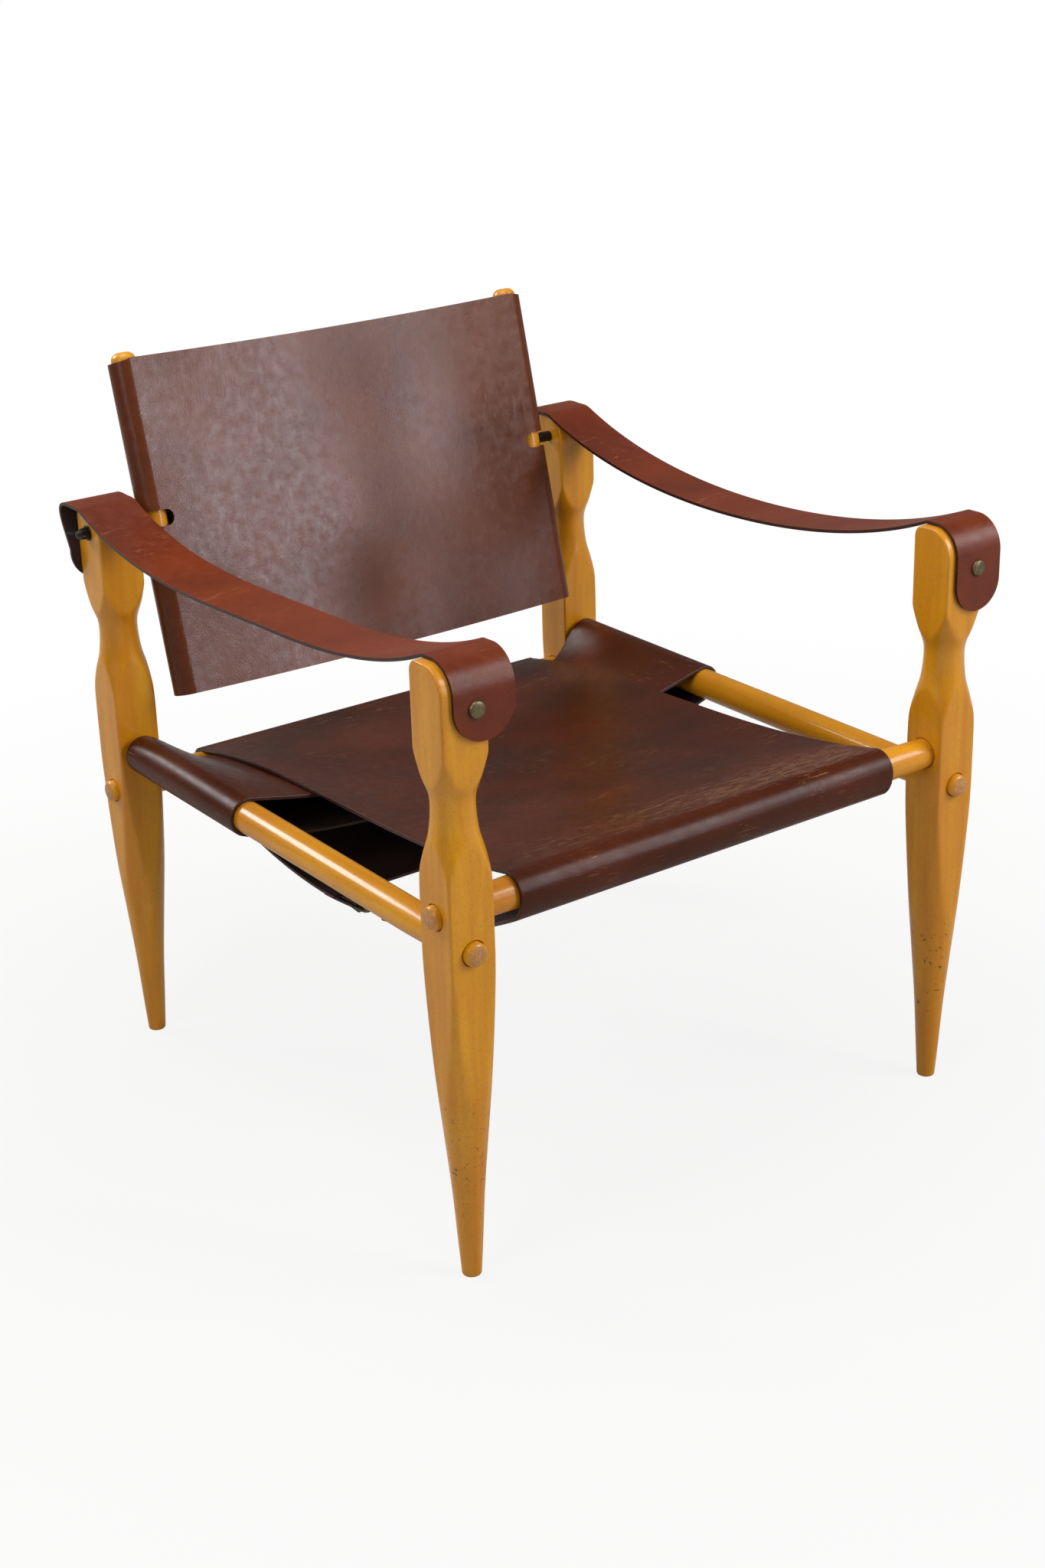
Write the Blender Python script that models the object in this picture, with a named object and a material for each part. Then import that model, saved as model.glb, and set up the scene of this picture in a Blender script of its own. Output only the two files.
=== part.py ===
"""Campaign chair: turned legs, round rails, a slung leather seat, strap arms and a swinging back.

Metres, +Z up, the front of the chair towards -Y, the feet on the ground at height zero.
The pieces are placed about the middle of the leg axes, and the chair_datum empty then moves
the whole chair so that its origin is under the middle of its overall depth.
"""
import bpy
import bmesh
from math import asin, atan, atan2, cos, hypot, pi, radians, sin, sqrt, tan
from mathutils import Matrix, Vector
from mathutils.geometry import interpolate_bezier

# Clearances and cuts
GAP = 0.0003                 # air kept between pieces that touch
OVERRUN = 0.004              # how far a cutter runs past what it cuts
MERGE = 0.000001             # two points closer than this are one point

# Stance, from leg axis to leg axis
STANCE_WIDTH = 0.550
STANCE_DEPTH = 0.571

# Leg: square stock, turned below the square and at the neck
LEG_STOCK = 0.044
FRONT_RAIL_HEIGHT = 0.3473   # axis of the front rail, which sets the height of the seat
ARM_RISE = 0.2157            # top of the legs above the front rail
FOOT_RADIUS = 0.0087
FOOT_ROUND = 0.0015
BLOCK_BELOW = 0.0363         # square stock under the front rail's axis
BLOCK_ABOVE = 0.0127
NECK_RADIUS = 0.0187
HEAD_LENGTH = 0.074          # square stock above the neck
HEAD_FRONT_REACH = 0.025     # front curve of the arched top, measured along the depth
HEAD_FRONT_DROP = 0.026      # the same curve, measured down from the top
HEAD_REAR_REACH = 0.009
HEAD_REAR_DROP = 0.011
LEG_SEGMENTS = 24

# Outline of the turned parts: share of the height gained, share of the radius gained
TAPER_SHARES = ((0.10, 0.09), (0.27, 0.24), (0.42, 0.42), (0.62, 0.67), (0.82, 0.86))
WAIST_LOW_SHARES = ((0.0, 1.0), (0.29, 0.87), (0.52, 0.54), (0.74, 0.17), (1.0, 0.0))
WAIST_HIGH_SHARES = ((0.27, 0.05), (0.58, 0.50), (1.0, 1.0))
HEAD_ROW_SHARES = (0.0, 0.45, 0.75, 0.93, 1.0)
NECK_SHARE = 0.597           # how far up the waist it is thinnest

# Rails: dowels that taper to a shoulder and end in a through tenon
RAIL_RADIUS = 0.015
RAIL_END_RADIUS = 0.0138
RAIL_TAPER = 0.060           # length over which a rail thins towards its shoulder
TENON_RADIUS = 0.01075
TENON_PROUD = 0.006
TENON_CHAMFER = 0.002
SOCKET_DEPTH = 0.0025        # counterbore in the leg that takes the shoulder
SOCKET_CLEARANCE = 0.0007
SIDE_RAIL_DROP = 0.0309      # below the front rail
REAR_RAIL_DROP = 0.0730      # below the front rail
RAIL_SEGMENTS = 20

# Seat leather: the long sheet runs over the front and rear rails
LEATHER = 0.0035
SEAT_SIDE_ROOM = 0.065       # from the leather's long edge to the axis of the legs
SEAT_SAG = 0.018
SEAT_EDGE_RISE = 0.020       # how far the cross sheet holds the long edges above the middle
SEAT_SLACK = 0.062           # hang of the flaps under the seat
SEAT_SLOUCH = 0.007          # air between the front rail and the leather under it
SEAT_WAIST = 0.003           # how far each long edge is drawn in at its middle
SEAT_FRONT_DRIFT = -0.0135   # middle of the sheet off the chair's middle, at the front rail
SEAT_REAR_DRIFT = 0.014
SEAT_FRONT_FLAP = 0.240      # leather under the seat, from the front rail
SEAT_FLAP_GAP = 0.090        # space between it and the flap from the rear rail
SEAT_BELT_INSET = 0.025      # middle of each belt inside the sheet's edge

# Cross sheet: runs over the side rails, inside the long sheet's loop
CROSS_FRONT = 0.053          # where its front edge lies behind the chair's middle
CROSS_REAR_CLEARANCE = 0.0055
CROSS_EDGE_MARGIN = 0.006    # flat leather past the long sheet's edge, before it climbs
CROSS_SLACK = 0.026
CROSS_FLAP_GAP = 0.2105      # space between its two flaps
CROSS_BOTTOM_SLOPE = 0.42
CROSS_PULL_SHARE = 0.22      # how soon its flaps level out
SEAT_COLUMN_SHARES = (0.0, 0.2, 0.4, 0.6, 0.8, 1.0)   # both sheets bend across on these lines

# Back: leather sleeve round two uprights, turning on bolts through the rear legs
BACK_LEAN = radians(14)
PIVOT_DROP = 0.0223          # below the top of the legs
UPRIGHT_RADIUS = 0.012
UPRIGHT_SIDE_ROOM = 0.050    # from an upright's axis to the axis of the legs
UPRIGHT_ROUND = 0.008        # dome on the ends of each upright
UPRIGHT_SHOW = 0.006         # how far the wood stands above the leather
UPRIGHT_RECESS = 0.004       # how far it stops inside the leather's lower edge
BACK_ABOVE = 0.155
BACK_BELOW = 0.173
BACK_TOP_DROOP = 0.003
BACK_BOTTOM_DROOP = 0.003
BACK_FLAP_DROP = 0.011       # inner end of each rear flap under the front panel's corner
BACK_FLAP_GAP = 0.110        # space between the two flaps behind the back
BACK_BELT_RISE = 0.098       # upper belt above the pivot
BACK_BELT_DROP = 0.112       # lower belt under the pivot
SLOT_HEIGHT = 0.016
SLOT_REACH = 0.013           # how far the slot runs inwards past the upright's axis
UPRIGHT_SEGMENTS = 16

# Pivot hardware
BOLT_RADIUS = 0.003
BOLT_HEAD_RADIUS = 0.0055
BOLT_HEAD_THICKNESS = 0.003
BOLT_SHOW = 0.003            # thread past the wing nut's hub
SPACER_RADIUS = 0.0055
WASHER_RADIUS = 0.0075
WASHER_THICKNESS = 0.0012
HUB_RADIUS = 0.006
HUB_TOP_RADIUS = 0.0048
HUB_HEIGHT = 0.0075
WING_THICKNESS = 0.0018
WING_REACH = 0.0155          # wing tip from the bolt's axis
WING_RISE = 0.0145           # wing tip above the hub's foot
WING_WIDTH = 0.0085
WING_ROOT_SHARE = 0.9        # how far up the hub each wing leaves it
BOLT_SEGMENTS = 12

# Arm straps
ARM_WIDTH_LEFT = 0.059
ARM_WIDTH_RIGHT = 0.054
ARM_THICKNESS = 0.003
ARM_OUTSET = 0.0015          # strap's middle outside the leg's axis
ARM_DRIFT_LEFT = 0.0185      # how far its front end lies towards +X
ARM_DRIFT_RIGHT = 0.012
ARM_HANG_LEFT = 0.065        # rounded front end below the top of the leg
ARM_HANG_RIGHT = 0.078
ARM_REAR_HANG = 0.076
ARM_SAG_LEFT = 0.033
ARM_SAG_RIGHT = 0.0483
ARM_LOW_LEFT = 0.060         # lowest point, ahead of the chair's middle
ARM_LOW_RIGHT = -0.012
ARM_LEAVE = radians(23)      # slope where the strap leaves the front leg
ARM_MEET = radians(23)       # slope where it meets the rear leg
ARM_BULGE = 0.041            # reach of the loop's handle behind the rear leg
ARM_REAR_FLAT = 0.004        # strap that lies on the rear leg above its rounded end
ARM_PULL_SHARE = 0.31        # how long a strap stays flat about its lowest point
LOOP_PULL_SHARE = 0.62       # how squarely the rear loop comes back to the leg
SCREW_FRONT_DROP = 0.037
SCREW_FRONT_DRIFT = 0.0105   # both front screws lie this far towards +X
SCREW_REAR_DROP = 0.062
SCREW_HEAD_RADIUS = 0.0078
SCREW_HEAD_THICKNESS = 0.003
SCREW_RADIUS = 0.002
SCREW_LENGTH = 0.020
SCREW_DOME_SHARES = (0.8, 0.7)   # a point on the dome: share of the head's height, of its radius
SCREW_SEGMENTS = 12

# Belts, buckles and rivets
BELT_WIDTH = 0.022
BELT_THICKNESS = 0.0025
BELT_GAP = 0.0005            # air between a belt and the curved sheet it lies on
BELT_LAP = 0.050             # belt that lies on its own flap
BELT_TIP = 0.068             # belt past the buckle's heel bar
BELT_TIP_LIFT = 0.003
BELT_POINT = 0.012
TAB_WIDTH = 0.020
TAB_THICKNESS = 0.002
TAB_REACH = 0.020            # heel bar beyond the edge of the flap
TAB_LENGTH = 0.052
TAB_PINCH = 0.010
BAR_RADIUS = 0.0015
BUCKLE_LENGTH = 0.020        # heel bar to toe bar
BUCKLE_SIDE_CLEARANCE = 0.0015
BUCKLE_CORNER = 0.004
PRONG_RADIUS = 0.0009
PRONG_OVERHANG = 0.0025
PRONG_SLOT = 0.0145
PRONG_SIDE_CLEARANCE = 0.0009
RIVET_RADIUS = 0.0015
RIVET_HEAD_RADIUS = 0.004
RIVET_HEAD = 0.0012
RIVET_WASHER = 0.0008
RIVET_EDGE = 0.012           # rivet from the end of a belt or a tab
RIVET_SEGMENTS = 8

# Colours are linear; then roughness and metallic
BEECH = ((0.62, 0.33, 0.075), 0.35, 0.0)
SADDLE_LEATHER = ((0.115, 0.036, 0.020), 0.42, 0.0)
ARM_LEATHER = ((0.150, 0.036, 0.014), 0.42, 0.0)
STEEL = ((0.09, 0.085, 0.08), 0.45, 1.0)
BRASS = ((0.30, 0.22, 0.10), 0.40, 1.0)

# Worked out from the sizes above
LEG_HALF = LEG_STOCK / 2
LEG_CORNER = LEG_HALF * sqrt(2)
LEG_X = STANCE_WIDTH / 2
LEG_Y = STANCE_DEPTH / 2
LEG_HEIGHT = FRONT_RAIL_HEIGHT + ARM_RISE
TAPER_TOP = FRONT_RAIL_HEIGHT - BLOCK_BELOW   # where the taper runs out into the square
WAIST_BOTTOM = FRONT_RAIL_HEIGHT + BLOCK_ABOVE
WAIST_TOP = LEG_HEIGHT - HEAD_LENGTH
NECK_HEIGHT = WAIST_BOTTOM + (WAIST_TOP - WAIST_BOTTOM) * NECK_SHARE
SIDE_RAIL_HEIGHT = FRONT_RAIL_HEIGHT - SIDE_RAIL_DROP
REAR_RAIL_HEIGHT = FRONT_RAIL_HEIGHT - REAR_RAIL_DROP
SEAT_WIDTH = STANCE_WIDTH - 2 * SEAT_SIDE_ROOM
ROLL = RAIL_RADIUS + GAP + LEATHER / 2        # middle of the leather round a rail
CROSS_REAR = LEG_Y - LEG_HALF - CROSS_REAR_CLEARANCE
SHEET_STEP = LEATHER + 2 * GAP                # from the long sheet down to the cross sheet
PIVOT_HEIGHT = LEG_HEIGHT - PIVOT_DROP
SLEEVE = UPRIGHT_RADIUS + GAP + LEATHER / 2   # middle of the leather round an upright
UPRIGHT_X = LEG_X - UPRIGHT_SIDE_ROOM
FRONT_REACH = LEG_Y + LEG_HALF + GAP + ARM_THICKNESS + GAP + SCREW_HEAD_THICKNESS
REAR_REACH = LEG_Y + BACK_ABOVE * sin(BACK_LEAN) + (SLEEVE + LEATHER / 2) * cos(BACK_LEAN)
DATUM_SHIFT = (FRONT_REACH - REAR_REACH) / 2

# Heights of a belt's layers out from the middle of the sheet it lies on
BELT_LOW = LEATHER / 2 + BELT_GAP + BELT_THICKNESS / 2
BAR_OUT = BELT_LOW + BELT_THICKNESS / 2 + GAP + BAR_RADIUS
TAB_FOLD = BAR_RADIUS + GAP + TAB_THICKNESS / 2
TAB_LOW = LEATHER / 2 + BELT_GAP + TAB_THICKNESS / 2
TAB_HIGH = TAB_LOW + TAB_THICKNESS + GAP
BELT_FOLD = TAB_FOLD + TAB_THICKNESS / 2 + GAP + BELT_THICKNESS / 2
RIVET_TOP = TAB_HIGH + TAB_THICKNESS / 2 + GAP + RIVET_HEAD
BELT_REST = RIVET_TOP + GAP + BELT_THICKNESS / 2
RING = BAR_RADIUS + GAP + PRONG_RADIUS


# Scene, objects and materials

def clear_scene():
    for item in list(bpy.data.objects):
        bpy.data.objects.remove(item, do_unlink=True)


def add_empty(name, location=(0, 0, 0), rotation=(0, 0, 0), parent=None):
    empty = bpy.data.objects.new(name, None)
    empty.location = location
    empty.rotation_euler = rotation
    empty.parent = parent
    bpy.context.scene.collection.objects.link(empty)
    return empty


def give_material(item, finish):
    colour, roughness, metallic = finish
    material = bpy.data.materials.new(item.name)
    material.use_nodes = True
    shader = material.node_tree.nodes["Principled BSDF"]
    shader.inputs["Base Color"].default_value = (*colour, 1)
    shader.inputs["Roughness"].default_value = roughness
    shader.inputs["Metallic"].default_value = metallic
    item.data.materials.append(material)


def add_object(name, data, finish, parent, matrix=Matrix()):
    item = bpy.data.objects.new(name, data)
    item.parent = parent
    item.location = matrix.to_translation()
    item.rotation_euler = matrix.to_euler()
    bpy.context.scene.collection.objects.link(item)
    give_material(item, finish)
    return item


def add_cutter(name, data, parent, matrix=Matrix()):
    item = bpy.data.objects.new(name, data)
    item.parent = parent
    item.location = matrix.to_translation()
    item.rotation_euler = matrix.to_euler()
    item.hide_render = True
    item.display_type = "WIRE"
    bpy.context.scene.collection.objects.link(item)
    return item


def cut(item, cutter):
    modifier = item.modifiers.new(cutter.name, "BOOLEAN")
    modifier.operation = "DIFFERENCE"
    modifier.solver = "EXACT"
    modifier.object = cutter


def finish_mesh(name, bm, smooth_angle=radians(35)):
    mesh = bpy.data.meshes.new(name)
    bm.to_mesh(mesh)
    bm.free()
    mesh.shade_smooth()
    mesh.set_sharp_from_angle(angle=smooth_angle)
    return mesh


def turn(outline, segments, hollow=False):
    """Spin (height, radius) pairs about Z; a hollow outline closes on itself, off the axis."""
    bm = bmesh.new()
    points = [bm.verts.new((radius, 0, height)) for height, radius in outline]
    pairs = list(zip(points, points[1:]))
    if hollow:
        pairs.append((points[-1], points[0]))
    edges = [bm.edges.new(pair) for pair in pairs]
    bmesh.ops.spin(
        bm, geom=points + edges, axis=(0, 0, 1), cent=(0, 0, 0),
        steps=segments, angle=2 * pi, use_merge=True,
    )
    bmesh.ops.remove_doubles(bm, verts=bm.verts, dist=MERGE)
    bmesh.ops.recalc_face_normals(bm, faces=bm.faces)
    return bm


def box(low, high):
    bm = bmesh.new()
    bmesh.ops.create_cube(bm, size=1)
    size = Vector(high) - Vector(low)
    middle = (Vector(high) + Vector(low)) / 2
    bmesh.ops.scale(bm, vec=size, verts=bm.verts)
    bmesh.ops.translate(bm, vec=middle, verts=bm.verts)
    return bm


def sheet(name, rows, thickness, finish, parent):
    """Leather from rows of points on its middle surface, given its thickness by Solidify."""
    columns = len(rows[0])
    bm = bmesh.new()
    bmesh.ops.create_grid(bm, x_segments=columns - 1, y_segments=len(rows) - 1, size=1)
    bm.verts.ensure_lookup_table()
    for index, vertex in enumerate(bm.verts):
        vertex.co = rows[index // columns][index % columns]
    bmesh.ops.triangulate(bm, faces=bm.faces[:], quad_method="SHORT_EDGE")
    item = add_object(name, finish_mesh(name, bm, radians(50)), finish, parent)
    solidify = item.modifiers.new("thickness", "SOLIDIFY")
    solidify.thickness = thickness
    solidify.offset = 0
    solidify.use_even_offset = True
    return item


# Lines in a plane: the first coordinate runs along, the second one up

def arc(centre, radius, start, end, steps):
    angles = [start + (end - start) * step / steps for step in range(steps + 1)]
    return [centre + radius * Vector((cos(angle), sin(angle))) for angle in angles]


def curve(start, start_slope, end, end_slope, steps, pull_share=1 / 3):
    """A hanging line between two points that leaves and meets them at the given slopes."""
    pull = (end.x - start.x) * pull_share
    first = start + Vector((pull, pull * start_slope))
    last = end - Vector((pull, pull * end_slope))
    return [point.to_2d() for point in interpolate_bezier(
        start.to_3d(), first.to_3d(), last.to_3d(), end.to_3d(), steps + 1)]


def line_length(line):
    return sum((b - a).length for a, b in zip(line, line[1:]))


def walk(line, along):
    """The point at a distance along a line, and the line's direction there."""
    left = along
    for a, b in zip(line, line[1:]):
        step = (b - a).length
        if left <= step or b is line[-1]:
            return a + (b - a) * (left / step), (b - a) / step
        left -= step


def beside(line, along, out):
    """A point beside a line: out is measured to its right, which is under a line that runs along."""
    point, direction = walk(line, along)
    return point + out * Vector((direction.y, -direction.x))


def part_of(line, start, end, steps):
    return [walk(line, start + (end - start) * step / steps)[0] for step in range(steps + 1)]


def joined(*lines):
    points = list(lines[0])
    for line in lines[1:]:
        points += line[1:]
    return points


def mirrored(point):
    return Vector((-point.x, point.y))


def height_at(line, along):
    for a, b in zip(line, line[1:]):
        if a.x <= along <= b.x:
            return a.y + (b.y - a.y) * (along - a.x) / (b.x - a.x)
    raise ValueError("the line does not reach that far")


# Leg

def leg_outline():
    gain = LEG_CORNER - FOOT_RADIUS
    outline = [(0, 0), (0, FOOT_RADIUS - FOOT_ROUND), (FOOT_ROUND, FOOT_RADIUS)]
    outline += [(TAPER_TOP * up, FOOT_RADIUS + gain * out) for up, out in TAPER_SHARES]
    outline.append((TAPER_TOP, LEG_CORNER))
    waist = LEG_CORNER - NECK_RADIUS
    low = NECK_HEIGHT - WAIST_BOTTOM
    high = WAIST_TOP - NECK_HEIGHT
    outline += [(WAIST_BOTTOM + low * up, NECK_RADIUS + waist * out) for up, out in WAIST_LOW_SHARES]
    outline += [(NECK_HEIGHT + high * up, NECK_RADIUS + waist * out) for up, out in WAIST_HIGH_SHARES]
    arch_start = LEG_HEIGHT - HEAD_FRONT_DROP
    outline += [(arch_start + HEAD_FRONT_DROP * up, LEG_CORNER) for up in HEAD_ROW_SHARES]
    outline.append((LEG_HEIGHT, 0))
    return outline


def head_face(height, reach, drop):
    """How far a curved edge of the arched top has come in at a height."""
    up = max(0, height - (LEG_HEIGHT - drop)) / drop
    return reach * (1 - sqrt(max(0, 1 - up * up)))


def shape_head(bm):
    for vertex in bm.verts:
        front = -LEG_HALF + head_face(vertex.co.z, HEAD_FRONT_REACH, HEAD_FRONT_DROP)
        rear = LEG_HALF - head_face(vertex.co.z, HEAD_REAR_REACH, HEAD_REAR_DROP)
        share = (vertex.co.y + LEG_HALF) / LEG_STOCK
        vertex.co.y = front + (rear - front) * share


def plane_sides(bm):
    """The turned stock is planed to a square, which the thinner turnings don't reach."""
    for vertex in bm.verts:
        vertex.co.x = max(-LEG_HALF, min(LEG_HALF, vertex.co.x))
        vertex.co.y = max(-LEG_HALF, min(LEG_HALF, vertex.co.y))


def make_leg(name, side, end, datum):
    bm = turn(leg_outline(), LEG_SEGMENTS)
    plane_sides(bm)
    shape_head(bm)
    place = Matrix.Translation((side * LEG_X, end * LEG_Y, 0))
    return add_object(name, finish_mesh(name, bm), BEECH, datum, place)


# Rails

def rail_outline(stance):
    """Half of it from the end of the tenon to the middle, then the same mirrored."""
    face = stance / 2 - LEG_HALF
    shoulder = face + SOCKET_DEPTH - GAP
    end = stance / 2 + LEG_HALF + TENON_PROUD
    half = [
        (-end, 0),
        (-end, TENON_RADIUS - TENON_CHAMFER),
        (-end + TENON_CHAMFER, TENON_RADIUS),
        (-shoulder, TENON_RADIUS),
        (-shoulder, RAIL_END_RADIUS),
        (-face + RAIL_TAPER, RAIL_RADIUS),
    ]
    return half + [(-height, radius) for height, radius in reversed(half)]


def rail_bore_outline(stance):
    face = stance / 2 - LEG_HALF
    end = stance / 2 + LEG_HALF + OVERRUN
    half = [
        (-end, 0),
        (-end, TENON_RADIUS + GAP),
        (-face - SOCKET_DEPTH, TENON_RADIUS + GAP),
        (-face - SOCKET_DEPTH, RAIL_END_RADIUS + SOCKET_CLEARANCE),
    ]
    return half + [(-height, radius) for height, radius in reversed(half)]


def make_rail(name, stance, place, datum, legs):
    rail = turn(rail_outline(stance), RAIL_SEGMENTS)
    add_object(name, finish_mesh(name, rail), BEECH, datum, place)
    bore_name = name + "_bore"
    bore = finish_mesh(bore_name, turn(rail_bore_outline(stance), RAIL_SEGMENTS))
    bore = add_cutter(bore_name, bore, datum, place)
    for leg in legs:
        cut(leg, bore)


def make_frame(datum):
    ends = {"front": -1, "rear": 1}
    sides = {"left": -1, "right": 1}
    legs = {
        (end, side): make_leg(f"{end}_{side}_leg", sides[side], ends[end], datum)
        for end in ends for side in sides
    }
    along_x = Matrix.Rotation(pi / 2, 4, "Y")
    along_y = Matrix.Rotation(-pi / 2, 4, "X")
    heights = {"front": FRONT_RAIL_HEIGHT, "rear": REAR_RAIL_HEIGHT}
    for end in ends:
        place = Matrix.Translation((0, ends[end] * LEG_Y, heights[end])) @ along_x
        make_rail(f"{end}_rail", STANCE_WIDTH, place, datum, [legs[end, side] for side in sides])
    for side in sides:
        place = Matrix.Translation((sides[side] * LEG_X, 0, SIDE_RAIL_HEIGHT)) @ along_y
        make_rail(f"{side}_rail", STANCE_DEPTH, place, datum, [legs[end, side] for end in ends])
    return legs


# Seat leather

def seat_slopes(sag):
    chord = (REAR_RAIL_HEIGHT - FRONT_RAIL_HEIGHT) / STANCE_DEPTH
    dip = 4 * sag / STANCE_DEPTH
    return chord - dip, chord + dip


def seat_lines():
    """The long sheet seen from the side: its top span, its two rolls and the line of its flaps."""
    front = Vector((-LEG_Y, FRONT_RAIL_HEIGHT))
    rear = Vector((LEG_Y, REAR_RAIL_HEIGHT))
    top_front, top_rear = seat_slopes(SEAT_SAG)
    low_front, low_rear = seat_slopes(SEAT_SLACK)
    deep = ROLL + SEAT_SLOUCH
    let_go = atan2(deep, -ROLL * low_front)
    turns = [let_go * (1 - step / 5) for step in range(5)]
    under = [front - Vector((ROLL * cos(angle), deep * sin(angle))) for angle in turns]
    front_roll = under + arc(front, ROLL, pi, pi / 2 + atan(top_front), 6)
    rear_roll = arc(rear, ROLL, pi / 2 + atan(top_rear), -pi / 2 + atan(low_rear), 10)
    top = curve(front_roll[-1], top_front, rear_roll[0], top_rear, 12)
    for along in (CROSS_FRONT, CROSS_REAR):
        place = Vector((along, height_at(top, along)))
        nearest = min(range(len(top)), key=lambda index: abs(top[index].x - along))
        top[nearest] = place
    bottom = curve(front_roll[0], low_front, rear_roll[-1], low_rear, 24)
    return front_roll, top, rear_roll, bottom


def edge_rise(along):
    """Height of the long edges over the middle of the span, greatest two thirds of the way back."""
    share = min(1, max(0, along / STANCE_DEPTH + 1 / 2))
    return SEAT_EDGE_RISE * 27 / 4 * share * share * (1 - share)


def seat_edges(along, on_top):
    """Left and right edge of the long sheet at a distance along the chair's depth."""
    share = min(1, max(0, along / STANCE_DEPTH + 1 / 2))
    drift = SEAT_FRONT_DRIFT + (SEAT_REAR_DRIFT - SEAT_FRONT_DRIFT) * share
    waist = SEAT_WAIST * (1 - min(1, (along / LEG_Y) ** 2)) if on_top else 0
    half = SEAT_WIDTH / 2 - waist
    return drift - half, drift + half


def make_seat_sheet(datum):
    front_roll, top, rear_roll, bottom = seat_lines()
    front_flap = part_of(bottom, SEAT_FRONT_FLAP, 0, 6)
    under = line_length(bottom)
    rear_flap = part_of(bottom, under, SEAT_FRONT_FLAP + SEAT_FLAP_GAP, 10)
    path = joined(front_flap, front_roll, top, rear_roll, rear_flap)
    first_top = len(front_flap) + len(front_roll) - 2
    last_top = first_top + len(top) - 1
    rows = []
    for index, point in enumerate(path):
        on_top = first_top <= index <= last_top
        left, right = seat_edges(point.x, on_top)
        rise = edge_rise(point.x) if on_top else 0
        rows.append([
            Vector((left + (right - left) * share, point.x, point.y + rise * (2 * share - 1) ** 2))
            for share in SEAT_COLUMN_SHARES
        ])
    return sheet("seat_sheet", rows, LEATHER, SADDLE_LEATHER, datum)


def cross_bottom():
    """The line of the cross sheet's flaps, from the left rail to the right one."""
    rail = Vector((-LEG_X, SIDE_RAIL_HEIGHT))
    turn_angle = atan(CROSS_BOTTOM_SLOPE)
    start = rail + ROLL * Vector((-sin(turn_angle), -cos(turn_angle)))
    low = Vector((0, SIDE_RAIL_HEIGHT - ROLL - CROSS_SLACK))
    left = curve(start, -CROSS_BOTTOM_SLOPE, low, 0, 14, CROSS_PULL_SHARE)
    right = [mirrored(point) for point in reversed(left)]
    return joined(left, right)


def cross_row(along, seat_top, seat_edge, bottom):
    """One section of the cross sheet: it lies under the long sheet and then climbs to the rails."""
    rail = Vector((-LEG_X, SIDE_RAIL_HEIGHT))
    meet = atan(CROSS_BOTTOM_SLOPE)
    middle = height_at(seat_top, along)
    rise = height_at(seat_edge, along) - middle
    left_edge, right_edge = seat_edges(along, True)
    flat = [
        Vector((left_edge + (right_edge - left_edge) * share,
                middle - SHEET_STEP + rise * (2 * share - 1) ** 2))
        for share in SEAT_COLUMN_SHARES
    ]
    flap = part_of(bottom, (line_length(bottom) - CROSS_FLAP_GAP) / 2, 0, 10)
    sides = []
    for edge, inner in ((flat[0], flat[1]), (mirrored(flat[-1]), mirrored(flat[-2]))):
        slope = (inner.y - edge.y) / (inner.x - edge.x)
        end = edge + CROSS_EDGE_MARGIN * Vector((-1, -slope))
        leave = (rail.y + ROLL - end.y) / (end.x - rail.x)
        roll = arc(rail, ROLL, 1.5 * pi - meet, pi / 2 - atan(leave), 9)
        sides.append(joined(flap, roll, curve(roll[-1], -leave, end, slope, 5)))
    right = [mirrored(point) for point in reversed(sides[1])]
    return [Vector((point.x, along, point.y)) for point in sides[0] + flat + right]


def make_cross_sheet(datum):
    seat_top = seat_lines()[1]
    seat_edge = [Vector((point.x, point.y + edge_rise(point.x))) for point in seat_top]
    bottom = cross_bottom()
    near, far = CROSS_FRONT - MERGE, CROSS_REAR + MERGE
    places = [point.x for point in seat_top if near < point.x < far]
    sections = [cross_row(along, seat_top, seat_edge, bottom) for along in places]
    rows = [list(points) for points in zip(*sections)]
    return sheet("cross_sheet", rows, LEATHER, SADDLE_LEATHER, datum)


# Belts: each lies on the outer side of a line, and a plane matrix carries it into the chair

def belt_rivet(inner, outer):
    """A rivet along Z, from its washer under the inner face to its head on the outer face."""
    low = inner - GAP
    high = outer + GAP
    outline = [
        (low - RIVET_WASHER, 0), (low - RIVET_WASHER, RIVET_HEAD_RADIUS), (low, RIVET_HEAD_RADIUS),
        (low, RIVET_RADIUS), (high, RIVET_RADIUS), (high, RIVET_HEAD_RADIUS),
        (high + RIVET_HEAD, RIVET_HEAD_RADIUS / 2), (high + RIVET_HEAD, 0),
    ]
    return turn(outline, RIVET_SEGMENTS)


def belt_line(heel):
    """The belt's middle as (along, out), from its fixed end to its tip."""
    low_point = heel - BUCKLE_LENGTH + BAR_RADIUS + GAP
    run = heel - low_point
    climb = BAR_OUT - BELT_LOW
    slope = atan2(climb, run) + asin(BELT_FOLD / hypot(run, climb))
    over = arc(Vector((heel, BAR_OUT)), BELT_FOLD, pi / 2 + slope, pi / 2, 4)
    tip = heel + BELT_TIP
    point = tip - BELT_POINT
    return over, low_point, [
        Vector((heel + TAB_PINCH + TAB_THICKNESS, BELT_REST)),
        Vector((point, BELT_REST + BELT_TIP_LIFT / 2)),
        Vector((tip, BELT_REST + BELT_TIP_LIFT)),
    ]


def across_row(line, along, out, half, centre, plane):
    point = beside(line, along, out)
    return [plane @ Vector((centre + across, *point)) for across in (-half, 0, half)]


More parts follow.
